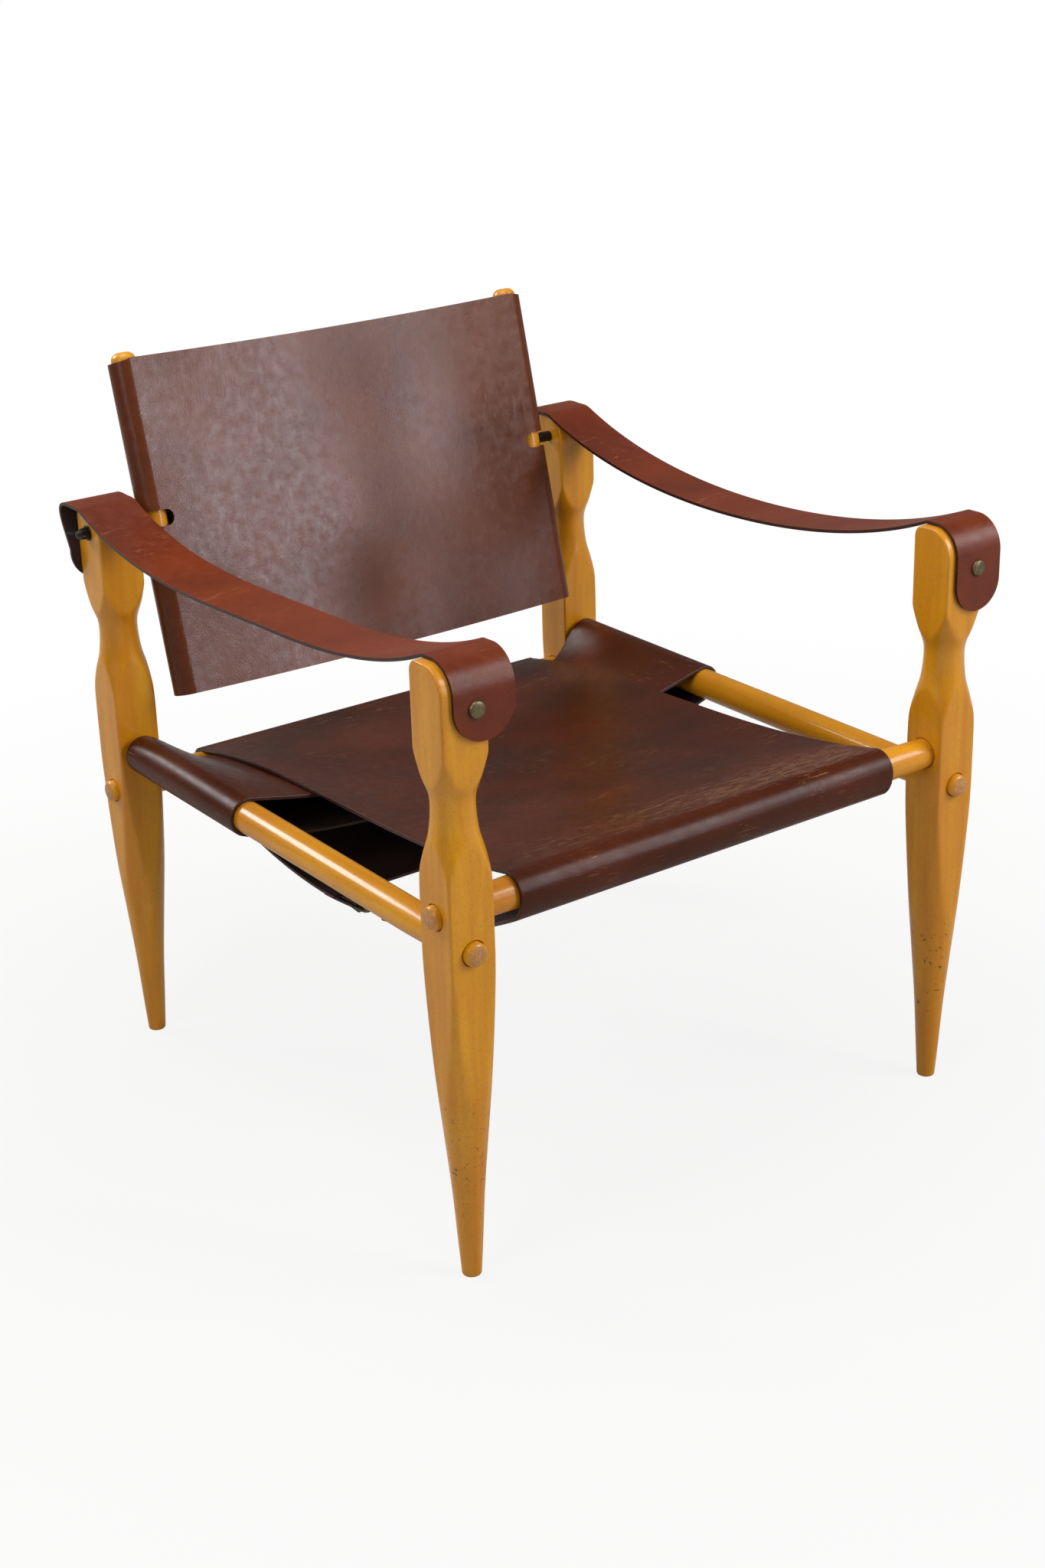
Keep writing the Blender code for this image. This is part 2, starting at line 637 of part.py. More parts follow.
def make_belt(name, line, near_edge, heel, centre, plane, parent):
    root = near_edge - BELT_LAP
    over, low_point, tail = belt_line(heel)
    half = BELT_WIDTH / 2
    steps = 8
    flat = [Vector((root + (low_point - root) * step / steps, BELT_LOW)) for step in range(steps + 1)]
    stations = flat + over + tail
    halves = [half] * (len(stations) - 1) + [half / 3]
    rows = [
        across_row(line, station.x, station.y, width, centre, plane)
        for station, width in zip(stations, halves)
    ]
    return sheet(name, rows, BELT_THICKNESS, SADDLE_LEATHER, parent)


def make_tab(name, line, heel, centre, plane, parent):
    fold = arc(Vector((heel, BAR_OUT)), TAB_FOLD, 1.5 * pi, pi / 2, 5)
    end = heel + TAB_LENGTH
    middle = heel + TAB_LENGTH * 2 / 3
    pinch = heel + TAB_PINCH
    stations = [Vector((end, TAB_LOW)), Vector((middle, TAB_LOW)), Vector((pinch, TAB_LOW))]
    stations += fold
    stations += [Vector((pinch, TAB_HIGH)), Vector((middle, TAB_HIGH)), Vector((end, TAB_HIGH))]
    rows = [
        across_row(line, station.x, station.y, TAB_WIDTH / 2, centre, plane)
        for station in stations
    ]
    return sheet(name, rows, TAB_THICKNESS, SADDLE_LEATHER, parent)


def wire(name, points, radius, closed):
    """A round wire through points: a closed ring, or a length with capped ends."""
    data = bpy.data.curves.new(name, "CURVE")
    data.dimensions = "3D"
    data.bevel_depth = radius
    data.bevel_resolution = 1
    data.use_fill_caps = not closed
    spline = data.splines.new("POLY")
    spline.points.add(len(points) - 1)
    for target, point in zip(spline.points, points):
        target.co = (*point, 1)
    spline.use_cyclic_u = closed
    return data


def make_buckle(name, place, parent):
    """A wire frame about the heel bar: X runs across the belt, Y from the toe bar to the heel bar."""
    half = BELT_WIDTH / 2 + BUCKLE_SIDE_CLEARANCE + BAR_RADIUS
    corners = [
        (Vector((half - BUCKLE_CORNER, -BUCKLE_CORNER)), 0),
        (Vector((-half + BUCKLE_CORNER, -BUCKLE_CORNER)), pi / 2),
        (Vector((-half + BUCKLE_CORNER, -BUCKLE_LENGTH + BUCKLE_CORNER)), pi),
        (Vector((half - BUCKLE_CORNER, -BUCKLE_LENGTH + BUCKLE_CORNER)), 1.5 * pi),
    ]
    points = []
    for corner, start in corners:
        points += [point.to_3d() for point in arc(corner, BUCKLE_CORNER, start, start + pi / 2, 3)]
    return add_object(name, wire(name, points, BAR_RADIUS, True), BRASS, parent, place)


def make_prong(name, place, parent):
    """A wire that lies on the toe bar and curls round the heel bar, which is its hinge."""
    tip = -BUCKLE_LENGTH - PRONG_OVERHANG
    points = [Vector((0, tip, -RING)), Vector((0, tip / 2, -RING))]
    points += [Vector((0, *point)) for point in arc(Vector((0, 0)), RING, -pi / 2, pi, 9)]
    return add_object(name, wire(name, points, PRONG_RADIUS, False), BRASS, parent, place)


def place_on(line, along, out, centre, plane):
    """A frame on a line: X across the belt, Y along it, and -Z out of the sheet."""
    point = beside(line, along, out)
    direction = walk(line, along)[1]
    tilt = Matrix.Rotation(atan2(direction.y, direction.x), 4, "X")
    return plane @ Matrix.Translation((centre, *point)) @ tilt


def make_belt_set(name, line, near_edge, far_edge, centre, plane, parent, skin):
    """Belt, tab, buckle, prong and rivets across the gap between two flaps."""
    heel = far_edge - TAB_REACH
    belt = make_belt(name, line, near_edge, heel, centre, plane, parent)
    tab = make_tab(name + "_tab", line, heel, centre, plane, parent)
    pivot = place_on(line, heel, BAR_OUT, centre, plane)
    make_buckle(name + "_buckle", pivot, parent)
    make_prong(name + "_prong", pivot, parent)
    half = PRONG_RADIUS + PRONG_SIDE_CLEARANCE
    reach = BELT_FOLD + BELT_THICKNESS
    slot = box((-half, -PRONG_SLOT, -reach), (half, PRONG_RADIUS, 0))
    slot = add_cutter(name + "_slot", finish_mesh(name + "_slot", slot), parent, pivot)
    cut(belt, slot)
    ring = RING + PRONG_RADIUS + GAP
    notch = box((-half, -reach, -reach), (half, ring, reach))
    notch = add_cutter(name + "_notch", finish_mesh(name + "_notch", notch), parent, pivot)
    cut(tab, notch)
    root = near_edge - BELT_LAP
    end = heel + TAB_LENGTH
    belt_face = BELT_LOW + BELT_THICKNESS / 2
    tab_face = TAB_HIGH + TAB_THICKNESS / 2
    stacks = (
        (name + "_rivet", root + RIVET_EDGE, belt_face, belt),
        (name + "_tab_rivet", end - RIVET_EDGE, tab_face, tab),
    )
    turned_out = Matrix.Rotation(pi, 4, "X")
    for rivet, along, face, strap in stacks:
        spot = place_on(line, along, 0, centre, plane) @ turned_out
        mesh = finish_mesh(rivet, belt_rivet(-LEATHER / 2, face))
        add_object(rivet, mesh, BRASS, parent, spot)
        drill(rivet + "_hole", spot, face + OVERRUN, parent, [strap, skin])


def drill(name, spot, depth, parent, items):
    """A rivet's hole through everything in a stack."""
    radius = RIVET_RADIUS + GAP
    shape = [(-depth, 0), (-depth, radius), (depth, radius), (depth, 0)]
    cutter = add_cutter(name, finish_mesh(name, turn(shape, RIVET_SEGMENTS)), parent, spot)
    for item in items:
        cut(item, cutter)


def make_seat_belts(datum, seat, cross):
    line = seat_lines()[3]
    near = SEAT_FRONT_FLAP
    far = SEAT_FRONT_FLAP + SEAT_FLAP_GAP
    for name, side in (("left_seat_belt", -1), ("right_seat_belt", 1)):
        centre = side * (SEAT_WIDTH / 2 - SEAT_BELT_INSET)
        make_belt_set(name, line, near, far, centre, Matrix(), datum, seat)
    line = cross_bottom()
    near = (line_length(line) - CROSS_FLAP_GAP) / 2
    far = near + CROSS_FLAP_GAP
    plane = Matrix.Rotation(-pi / 2, 4, "Z")
    centre = -(CROSS_FRONT + CROSS_REAR) / 2
    make_belt_set("cross_belt", line, near, far, centre, plane, datum, cross)


# Back, built about its pivot: X along the pivot, Z up the uprights, Y behind

def make_uprights(back):
    top = BACK_ABOVE + UPRIGHT_SHOW
    bottom = -BACK_BELOW + UPRIGHT_RECESS
    flat = UPRIGHT_RADIUS - UPRIGHT_ROUND
    turns = [pi / 2 * step / 3 for step in range(4)]
    dome = [(UPRIGHT_ROUND * (1 - cos(turn)), flat + UPRIGHT_ROUND * sin(turn)) for turn in turns]
    outline = [(bottom, 0)] + [(bottom + height, radius) for height, radius in dome]
    outline += [(top - height, radius) for height, radius in reversed(dome)] + [(top, 0)]
    uprights = []
    for name, side in (("left_upright", -1), ("right_upright", 1)):
        mesh = finish_mesh(name, turn(outline, UPRIGHT_SEGMENTS))
        place = Matrix.Translation((side * UPRIGHT_X, 0, 0))
        uprights.append(add_object(name, mesh, BEECH, back, place))
    return uprights


def back_path():
    """The sleeve seen from above: rear flap, left roll, front panel, right roll, rear flap."""
    inner = BACK_FLAP_GAP / 2
    left_roll = arc(Vector((-UPRIGHT_X, 0)), SLEEVE, pi / 2, 1.5 * pi, 10)
    flap = [Vector((-inner + (inner - UPRIGHT_X) * step / 4, SLEEVE)) for step in range(4)]
    left = flap + left_roll
    right = [mirrored(point) for point in reversed(left)]
    shares = [step / 10 for step in range(1, 10)]
    front = [left[-1].lerp(right[0], share) for share in shares]
    return left, front, right


def make_back_leather(back):
    left, front, right = back_path()
    reach = line_length(left)
    behind = [line_length(left[index:]) / reach for index in range(len(left))]
    shares_behind = behind + [0] * len(front) + list(reversed(behind))
    rows = []
    for point, share_behind in zip(left + front + right, shares_behind):
        middle = 1 - min(1, (point.x / UPRIGHT_X) ** 2) if point.y < 0 else 0
        top = BACK_ABOVE - BACK_TOP_DROOP * middle - BACK_FLAP_DROP * sqrt(share_behind)
        bottom = -BACK_BELOW - BACK_BOTTOM_DROOP * middle
        shares = [step / 4 for step in range(5)]
        rows.append([Vector((*point, bottom + (top - bottom) * share)) for share in shares])
    leather = sheet("back_leather", rows, LEATHER, SADDLE_LEATHER, back)
    for side, word in ((-1, "left"), (1, "right")):
        inner = side * (UPRIGHT_X - SLOT_REACH)
        outer = side * (UPRIGHT_X + SLEEVE + OVERRUN)
        deep = SLEEVE + OVERRUN
        low = (min(inner, outer), -deep, -SLOT_HEIGHT / 2)
        high = (max(inner, outer), deep, SLOT_HEIGHT / 2)
        slot = box(low, high)
        ends = [
            edge for edge in slot.edges
            if abs(edge.verts[0].co.x - inner) < MERGE and abs(edge.verts[1].co.x - inner) < MERGE
            and abs(edge.verts[0].co.z - edge.verts[1].co.z) < MERGE
        ]
        bmesh.ops.bevel(
            slot, geom=ends, offset=SLOT_HEIGHT / 3, segments=3,
            affect="EDGES", profile=0.5, material=-1,
        )
        name = word + "_pivot_slot"
        cut(leather, add_cutter(name, finish_mesh(name, slot), back))
    return leather


def make_back_belts(back, leather):
    inner = BACK_FLAP_GAP / 2
    line = [Vector((-UPRIGHT_X, -SLEEVE)), Vector((UPRIGHT_X, -SLEEVE))]
    behind = Matrix(((0, 1, 0, 0), (0, 0, -1, 0), (-1, 0, 0, 0), (0, 0, 0, 1)))
    for name, up in (("upper_back_belt", BACK_BELT_RISE), ("lower_back_belt", -BACK_BELT_DROP)):
        near = UPRIGHT_X - inner
        far = UPRIGHT_X + inner
        make_belt_set(name, line, near, far, -up, behind, back, leather)


# Pivot hardware: turned along Z, then laid along X with its head on the inside

def bolt_outline():
    head = UPRIGHT_X - UPRIGHT_RADIUS - GAP
    end = LEG_X + LEG_HALF + GAP + WASHER_THICKNESS + GAP + HUB_HEIGHT + BOLT_SHOW
    return [
        (head - BOLT_HEAD_THICKNESS, 0), (head - BOLT_HEAD_THICKNESS, BOLT_HEAD_RADIUS / 2),
        (head - BOLT_HEAD_THICKNESS / 3, BOLT_HEAD_RADIUS), (head, BOLT_HEAD_RADIUS),
        (head, BOLT_RADIUS), (end, BOLT_RADIUS), (end, 0),
    ]


def ring_outline(low, high, outer):
    inner = BOLT_RADIUS + GAP
    return [(low, inner), (low, outer), (high, outer), (high, inner)]


def make_wing(foot, way):
    """One flat wing in the plane of Y and Z, sunk into the hub's wall."""
    root = (HUB_RADIUS + BOLT_RADIUS + GAP) / 2
    corners = [
        (root, foot + HUB_HEIGHT / 3), (HUB_RADIUS, foot + HUB_HEIGHT / 4),
        (WING_REACH, foot + WING_RISE - WING_WIDTH), (WING_REACH, foot + WING_RISE),
        (WING_REACH - WING_WIDTH / 2, foot + WING_RISE), (root, foot + HUB_HEIGHT * WING_ROOT_SHARE),
    ]
    bm = bmesh.new()
    low = [bm.verts.new((-WING_THICKNESS / 2, way * y, z)) for y, z in corners]
    face = bm.faces.new(low)
    made = bmesh.ops.extrude_face_region(bm, geom=[face])
    top = [item for item in made["geom"] if isinstance(item, bmesh.types.BMVert)]
    bmesh.ops.translate(bm, vec=(WING_THICKNESS, 0, 0), verts=top)
    bmesh.ops.recalc_face_normals(bm, faces=bm.faces)
    return bm


def make_pivots(datum, back, rear_legs, uprights):
    for side, word in ((-1, "left"), (1, "right")):
        along = Matrix.Translation((0, LEG_Y, PIVOT_HEIGHT)) @ Matrix.Rotation(side * pi / 2, 4, "Y")
        name = word + "_pivot_bolt"
        bolt = finish_mesh(name, turn(bolt_outline(), BOLT_SEGMENTS))
        add_object(name, bolt, STEEL, datum, along)
        inside = UPRIGHT_X + UPRIGHT_RADIUS + GAP
        outside = LEG_X + LEG_HALF + GAP
        rings = (
            ("spacer", inside, LEG_X - LEG_HALF - GAP, SPACER_RADIUS),
            ("washer", outside, outside + WASHER_THICKNESS, WASHER_RADIUS),
        )
        for kind, low, high, radius in rings:
            name = f"{word}_{kind}"
            ring = turn(ring_outline(low, high, radius), BOLT_SEGMENTS, hollow=True)
            add_object(name, finish_mesh(name, ring), STEEL, datum, along)
        make_wing_nut(word, along, datum)
        name = word + "_pivot_bore"
        reach = LEG_X + LEG_HALF + OVERRUN
        start = UPRIGHT_X - UPRIGHT_RADIUS - OVERRUN
        radius = BOLT_RADIUS + GAP
        outline = [(start, 0), (start, radius), (reach, radius), (reach, 0)]
        bore = add_cutter(name, finish_mesh(name, turn(outline, BOLT_SEGMENTS)), datum, along)
        cut(rear_legs[word], bore)
        cut(uprights[word], bore)


def make_wing_nut(word, along, datum):
    foot = LEG_X + LEG_HALF + GAP + WASHER_THICKNESS + GAP
    inner = BOLT_RADIUS + GAP
    hub = [
        (foot, inner), (foot, HUB_RADIUS), (foot + HUB_HEIGHT, HUB_TOP_RADIUS),
        (foot + HUB_HEIGHT, inner),
    ]
    name = word + "_wing_nut"
    hub = finish_mesh(name, turn(hub, BOLT_SEGMENTS, hollow=True))
    nut = add_object(name, hub, STEEL, datum, along)
    for way, wing_word in ((-1, "front"), (1, "rear")):
        wing_name = f"{word}_{wing_word}_wing"
        wing = add_cutter(wing_name, finish_mesh(wing_name, make_wing(foot, way)), datum, along)
        union = nut.modifiers.new(wing_name, "BOOLEAN")
        union.operation = "UNION"
        union.solver = "EXACT"
        union.object = wing


# Arm straps

def over_leg(middle, lift, start, end):
    """Points round the front curve of a leg's arched top, by the angle of its ellipse."""
    centre = Vector((middle - LEG_HALF + HEAD_FRONT_REACH, LEG_HEIGHT - HEAD_FRONT_DROP))
    wide = HEAD_FRONT_REACH + lift
    high = HEAD_FRONT_DROP + lift
    steps = 6
    angles = [start + (end - start) * step / steps for step in range(steps + 1)]
    return [centre + Vector((-wide * cos(angle), high * sin(angle))) for angle in angles]


def arm_path(width, hang, sag, low_ahead):
    """The strap seen from the side, from its rounded front end to its rounded rear end."""
    lift = GAP + ARM_THICKNESS / 2
    front = -LEG_Y - LEG_HALF - lift
    rear = LEG_Y + LEG_HALF + lift
    top = LEG_HEIGHT + lift
    front_end = LEG_HEIGHT - hang
    half = width / 2
    turns = [radians(angle) for angle in (8, 25, 42, 60, 76, 90)]
    start = [Vector((front, front_end + half * (1 - cos(angle)))) for angle in turns]
    start_widths = [half * sin(angle) for angle in turns]
    front_arch = over_leg(-LEG_Y, lift, 0, pi / 2)
    corner = Vector((-LEG_Y + LEG_HALF - HEAD_REAR_REACH, LEG_HEIGHT - HEAD_REAR_DROP))
    wide = HEAD_REAR_REACH + lift
    high = HEAD_REAR_DROP + lift
    leave_angles = [atan(wide / high * tan(ARM_LEAVE * share)) for share in (0, 0.5, 1)]
    leave = [corner + Vector((wide * sin(angle), high * cos(angle))) for angle in leave_angles]
    meet_angle = atan((HEAD_FRONT_DROP + lift) / (HEAD_FRONT_REACH + lift) / tan(ARM_MEET))
    meet = over_leg(LEG_Y, lift, meet_angle, pi / 2)
    low = Vector((-low_ahead, top - sag))
    first = curve(leave[-1], -tan(ARM_LEAVE), low, 0, 7, ARM_PULL_SHARE)
    second = curve(low, 0, meet[0], tan(ARM_MEET), 7, ARM_PULL_SHARE)
    let_go = Vector((LEG_Y + LEG_HALF - HEAD_REAR_REACH, top))
    rear_end = LEG_HEIGHT - ARM_REAR_HANG
    touch = Vector((rear, rear_end + half + ARM_REAR_FLAT))
    loop = interpolate_bezier(
        let_go.to_3d(),
        (let_go + Vector((ARM_BULGE, ARM_THICKNESS))).to_3d(),
        (touch + Vector((ARM_BULGE / 3, (top - touch.y) * LOOP_PULL_SHARE))).to_3d(),
        touch.to_3d(), 11)
    loop = [point.to_2d() for point in loop]
    end = [Vector((rear, rear_end + half * (1 - cos(angle)))) for angle in reversed(turns)]
    end_widths = list(reversed(start_widths))
    middle = front_arch + leave + first[1:] + second[1:-1] + meet + loop
    return start + middle + end, start_widths + [half] * len(middle) + end_widths


def make_arm(name, side, path_and_halves, drift, datum):
    rows = []
    for point, half in zip(*path_and_halves):
        share = min(1, max(0, 1 / 2 - point.x / STANCE_DEPTH))
        middle = side * (LEG_X + ARM_OUTSET) + drift * share ** 2
        rows.append([Vector((middle + across, *point)) for across in (-half, 0, half)])
    return sheet(name, rows, ARM_THICKNESS, ARM_LEATHER, datum)


def screw_outline():
    """Along Z from the shank's end to the head's top, with the strap's face at zero."""
    head = SCREW_HEAD_RADIUS
    up_share, out_share = SCREW_DOME_SHARES
    return [
        (-SCREW_LENGTH, 0), (-SCREW_LENGTH, SCREW_RADIUS / 2),
        (-SCREW_LENGTH + SCREW_RADIUS, SCREW_RADIUS), (GAP, SCREW_RADIUS), (GAP, head),
        (GAP + SCREW_HEAD_THICKNESS / 3, head),
        (GAP + SCREW_HEAD_THICKNESS * up_share, head * out_share),
        (GAP + SCREW_HEAD_THICKNESS, 0),
    ]


def make_arms(datum, legs):
    """Straps, and a screw through each strap end into its leg."""
    left_path = arm_path(ARM_WIDTH_LEFT, ARM_HANG_LEFT, ARM_SAG_LEFT, ARM_LOW_LEFT)
    right_path = arm_path(ARM_WIDTH_RIGHT, ARM_HANG_RIGHT, ARM_SAG_RIGHT, ARM_LOW_RIGHT)
    straps = {
        "left": make_arm("left_arm_strap", -1, left_path, ARM_DRIFT_LEFT, datum),
        "right": make_arm("right_arm_strap", 1, right_path, ARM_DRIFT_RIGHT, datum),
    }
    out = LEG_Y + LEG_HALF + GAP + ARM_THICKNESS
    for side, word in ((-1, "left"), (1, "right")):
        ends = (("front", -1, SCREW_FRONT_DROP, SCREW_FRONT_DRIFT), ("rear", 1, SCREW_REAR_DROP, 0))
        for end, way, drop, drift in ends:
            spot = (side * (LEG_X + ARM_OUTSET) + drift, way * out, LEG_HEIGHT - drop)
            place = Matrix.Translation(spot) @ Matrix.Rotation(-way * pi / 2, 4, "X")
            name = f"{end}_{word}_arm_screw"
            mesh = finish_mesh(name, turn(screw_outline(), SCREW_SEGMENTS))
            add_object(name, mesh, BRASS, datum, place)
            name += "_hole"
            hole = finish_mesh(name, turn(screw_hole_outline(), SCREW_SEGMENTS))
            hole = add_cutter(name, hole, datum, place)
            cut(straps[word], hole)
            cut(legs[end, word], hole)


def screw_hole_outline():
    radius = SCREW_RADIUS + GAP
    bottom = -SCREW_LENGTH - GAP
    return [(bottom, 0), (bottom, radius), (OVERRUN, radius), (OVERRUN, 0)]


def main():
    clear_scene()
    datum = add_empty("chair_datum", (0, DATUM_SHIFT, 0))
    legs = make_frame(datum)
    seat = make_seat_sheet(datum)
    cross = make_cross_sheet(datum)
    make_seat_belts(datum, seat, cross)
    back = add_empty("back_pivot", (0, LEG_Y, PIVOT_HEIGHT), (-BACK_LEAN, 0, 0), datum)
    left_upright, right_upright = make_uprights(back)
    leather = make_back_leather(back)
    make_back_belts(back, leather)
    rear_legs = {word: legs["rear", word] for word in ("left", "right")}
    make_pivots(datum, back, rear_legs, {"left": left_upright, "right": right_upright})
    make_arms(datum, legs)


main()
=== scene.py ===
"""Looks of a campaign chair: turned beech, slung saddle leather, strap arms and a swinging back.

Metres, +Z up, the front of the chair towards -Y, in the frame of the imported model.
"""

from math import asin, atan, atan2, cos, hypot, pi, radians, sin, sqrt, tan

import bmesh
import bpy
from bpy.props import FloatProperty, FloatVectorProperty, PointerProperty
from mathutils import Matrix, Vector
from mathutils.geometry import interpolate_bezier


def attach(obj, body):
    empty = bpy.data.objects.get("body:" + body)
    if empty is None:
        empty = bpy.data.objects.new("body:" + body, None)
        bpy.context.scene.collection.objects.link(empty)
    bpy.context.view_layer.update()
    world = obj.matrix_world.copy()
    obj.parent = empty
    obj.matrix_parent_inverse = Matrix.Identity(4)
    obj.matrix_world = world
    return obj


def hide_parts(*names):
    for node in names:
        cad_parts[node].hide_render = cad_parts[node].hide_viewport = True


bl_info = {
    "name": "Campaign chair",
    "version": (1, 0, 0),
    "blender": (4, 5, 0),
    "location": "3D View > Sidebar > Chair",
    "description":
        "Builds the finished wood, leather and metal of a campaign chair round its frame",
    "category": "Object",
}

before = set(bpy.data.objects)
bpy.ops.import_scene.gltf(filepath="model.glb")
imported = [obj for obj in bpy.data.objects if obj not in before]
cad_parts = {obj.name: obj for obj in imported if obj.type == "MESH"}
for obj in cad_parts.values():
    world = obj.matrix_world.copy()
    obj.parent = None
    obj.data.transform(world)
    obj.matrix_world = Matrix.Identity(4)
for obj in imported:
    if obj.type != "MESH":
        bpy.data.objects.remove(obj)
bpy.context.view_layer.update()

# Clearances, and how far a cutter overruns what it cuts
GAP = 0.0003
MERGE = 0.000001
OVERRUN = 0.004

# The solid model's own sizes, which the finished pieces keep
# Legs
STANCE_WIDTH = 0.550
STANCE_DEPTH = 0.571
LEG_STOCK = 0.044
FRONT_RAIL_HEIGHT = 0.3473
LEG_HEIGHT = FRONT_RAIL_HEIGHT + 0.2157
FOOT_RADIUS = 0.0087
FOOT_ROUND = 0.0015
TAPER_TOP = FRONT_RAIL_HEIGHT - 0.0363
WAIST_BOTTOM = FRONT_RAIL_HEIGHT + 0.0127
WAIST_TOP = LEG_HEIGHT - 0.074
NECK_HEIGHT = WAIST_BOTTOM + (WAIST_TOP - WAIST_BOTTOM) * 0.597
NECK_RADIUS = 0.0187
HEAD_FRONT_REACH = 0.025
HEAD_FRONT_DROP = 0.026
HEAD_REAR_REACH = 0.009
HEAD_REAR_DROP = 0.011
TAPER_SHARES = ((0.10, 0.09), (0.27, 0.24), (0.42, 0.42), (0.62, 0.67), (0.82, 0.86))
WAIST_LOW_SHARES = ((0.0, 1.0), (0.29, 0.87), (0.52, 0.54), (0.74, 0.17), (1.0, 0.0))
WAIST_HIGH_SHARES = ((0.27, 0.05), (0.58, 0.50), (1.0, 1.0))

# Rails
RAIL_RADIUS = 0.015
RAIL_END_RADIUS = 0.0138
RAIL_TAPER = 0.060
TENON_RADIUS = 0.01075
TENON_PROUD = 0.006
TENON_CHAMFER = 0.002
SOCKET_DEPTH = 0.0025
SIDE_RAIL_HEIGHT = FRONT_RAIL_HEIGHT - 0.0309
REAR_RAIL_HEIGHT = FRONT_RAIL_HEIGHT - 0.0730

# Seat
LEATHER = 0.0035
SEAT_WIDTH = 0.420
SEAT_SAG = 0.018
SEAT_EDGE_RISE = 0.020
SEAT_SLACK = 0.062
SEAT_SLOUCH = 0.007
SEAT_WAIST = 0.003
SEAT_FRONT_DRIFT = -0.0135
SEAT_REAR_DRIFT = 0.014
SEAT_FRONT_FLAP = 0.240
SEAT_FLAP_GAP = 0.090
SEAT_BELT_INSET = 0.025
CROSS_FRONT = 0.053
CROSS_REAR_CLEARANCE = 0.0055
CROSS_EDGE_MARGIN = 0.006
CROSS_SLACK = 0.026
CROSS_FLAP_GAP = 0.2105
CROSS_BOTTOM_SLOPE = 0.42
CROSS_PULL_SHARE = 0.22

# Back
BACK_LEAN = radians(14)
PIVOT_HEIGHT = LEG_HEIGHT - 0.0223
UPRIGHT_RADIUS = 0.012
UPRIGHT_X = 0.225
UPRIGHT_ROUND = 0.008
UPRIGHT_SHOW = 0.006
UPRIGHT_RECESS = 0.004
BACK_ABOVE = 0.155
BACK_BELOW = 0.173
BACK_TOP_DROOP = 0.003
BACK_BOTTOM_DROOP = 0.003
BACK_FLAP_DROP = 0.011
BACK_FLAP_GAP = 0.110
BACK_BELT_RISE = 0.098
BACK_BELT_DROP = 0.112
SLOT_HEIGHT = 0.016
SLOT_REACH = 0.013

# Pivots
BOLT_RADIUS = 0.003
BOLT_HEAD_RADIUS = 0.0055
BOLT_HEAD_THICKNESS = 0.003
BOLT_SHOW = 0.003
SPACER_RADIUS = 0.0055
WASHER_RADIUS = 0.0075
WASHER_THICKNESS = 0.0012
HUB_RADIUS = 0.006
HUB_TOP_RADIUS = 0.0048
HUB_HEIGHT = 0.0075
WING_THICKNESS = 0.0018
WING_REACH = 0.0155
WING_RISE = 0.0145
WING_WIDTH = 0.0085
THREAD_PITCH = 0.001
THREAD_DEPTH = 0.0003

# Arm straps and their screws
ARM_WIDTHS = {"left": 0.059, "right": 0.054}
ARM_THICKNESS = 0.003
ARM_OUTSET = 0.0015
ARM_DRIFTS = {"left": 0.0185, "right": 0.012}
ARM_HANGS = {"left": 0.065, "right": 0.078}
ARM_REAR_HANG = 0.076
ARM_SAGS = {"left": 0.033, "right": 0.0483}
ARM_LOWS = {"left": 0.060, "right": -0.012}
ARM_LEAVE = radians(23)
ARM_MEET = radians(23)
ARM_BULGE = 0.041
ARM_REAR_FLAT = 0.004
ARM_PULL_SHARE = 0.31
LOOP_PULL_SHARE = 0.62
SCREW_FRONT_DROP = 0.037
SCREW_FRONT_DRIFT = 0.0105
SCREW_REAR_DROP = 0.062
SCREW_HEAD_RADIUS = 0.0078
SCREW_HEAD_THICKNESS = 0.003
SCREW_RADIUS = 0.002
SCREW_LENGTH = 0.020

# Belts, tabs, buckles and rivets
BELT_WIDTH = 0.022
BELT_THICKNESS = 0.0025
BELT_GAP = 0.0005
BELT_LAP = 0.050
BELT_TIP = 0.068
BELT_TIP_LIFT = 0.003
BELT_POINT = 0.012
TAB_WIDTH = 0.020
TAB_THICKNESS = 0.002
TAB_REACH = 0.020
TAB_LENGTH = 0.052
TAB_PINCH = 0.010
BAR_RADIUS = 0.0015
BUCKLE_LENGTH = 0.020
BUCKLE_SIDE_CLEARANCE = 0.0015
BUCKLE_CORNER = 0.004
PRONG_RADIUS = 0.0009
PRONG_OVERHANG = 0.0025
PRONG_SLOT = 0.0145
PRONG_SIDE_CLEARANCE = 0.0009
RIVET_RADIUS = 0.0015
RIVET_HEAD_RADIUS = 0.004
RIVET_HEAD = 0.0012
RIVET_WASHER = 0.0008
RIVET_EDGE = 0.012
RIVET_SPACING = 0.013
BELT_HOLE_RADIUS = 0.0016
BELT_HOLE_SPACING = 0.013

# Details that only the finished pieces have
SANDED_BLEND = 0.0012
ARCH_MARGIN = 0.004
ARRIS_CROWDING = 1.8
HALVINGS = 22
TENON_SOFTENING = 0.0006
RAIL_SHOULDER_ROUND = 0.001
METAL_SOFTENING = 0.0003
HUB_SOFTENING = 0.0005
SEAT_FINENESS = 4
SCREW_RIM_SHARE = 0.62
SCREW_SHOULDER_SHARE = 0.9
BELT_HOLES = 4
HOLE_INSET = BELT_POINT * 1.4
HOLE_REACH = BELT_THICKNESS * 1.4
POINT_STEPS = 8
POINT_NARROWING = 0.86
POINT_CURVE = 2.2

# Edges sharper than these stay crisp, and the slot of a cut edge among leather finishes
CREASE = radians(32)
SCREW_CREASE = radians(40)
CUT_CREASE = radians(50)
WIRE_CREASE = radians(60)
CUT_SLOT = 2

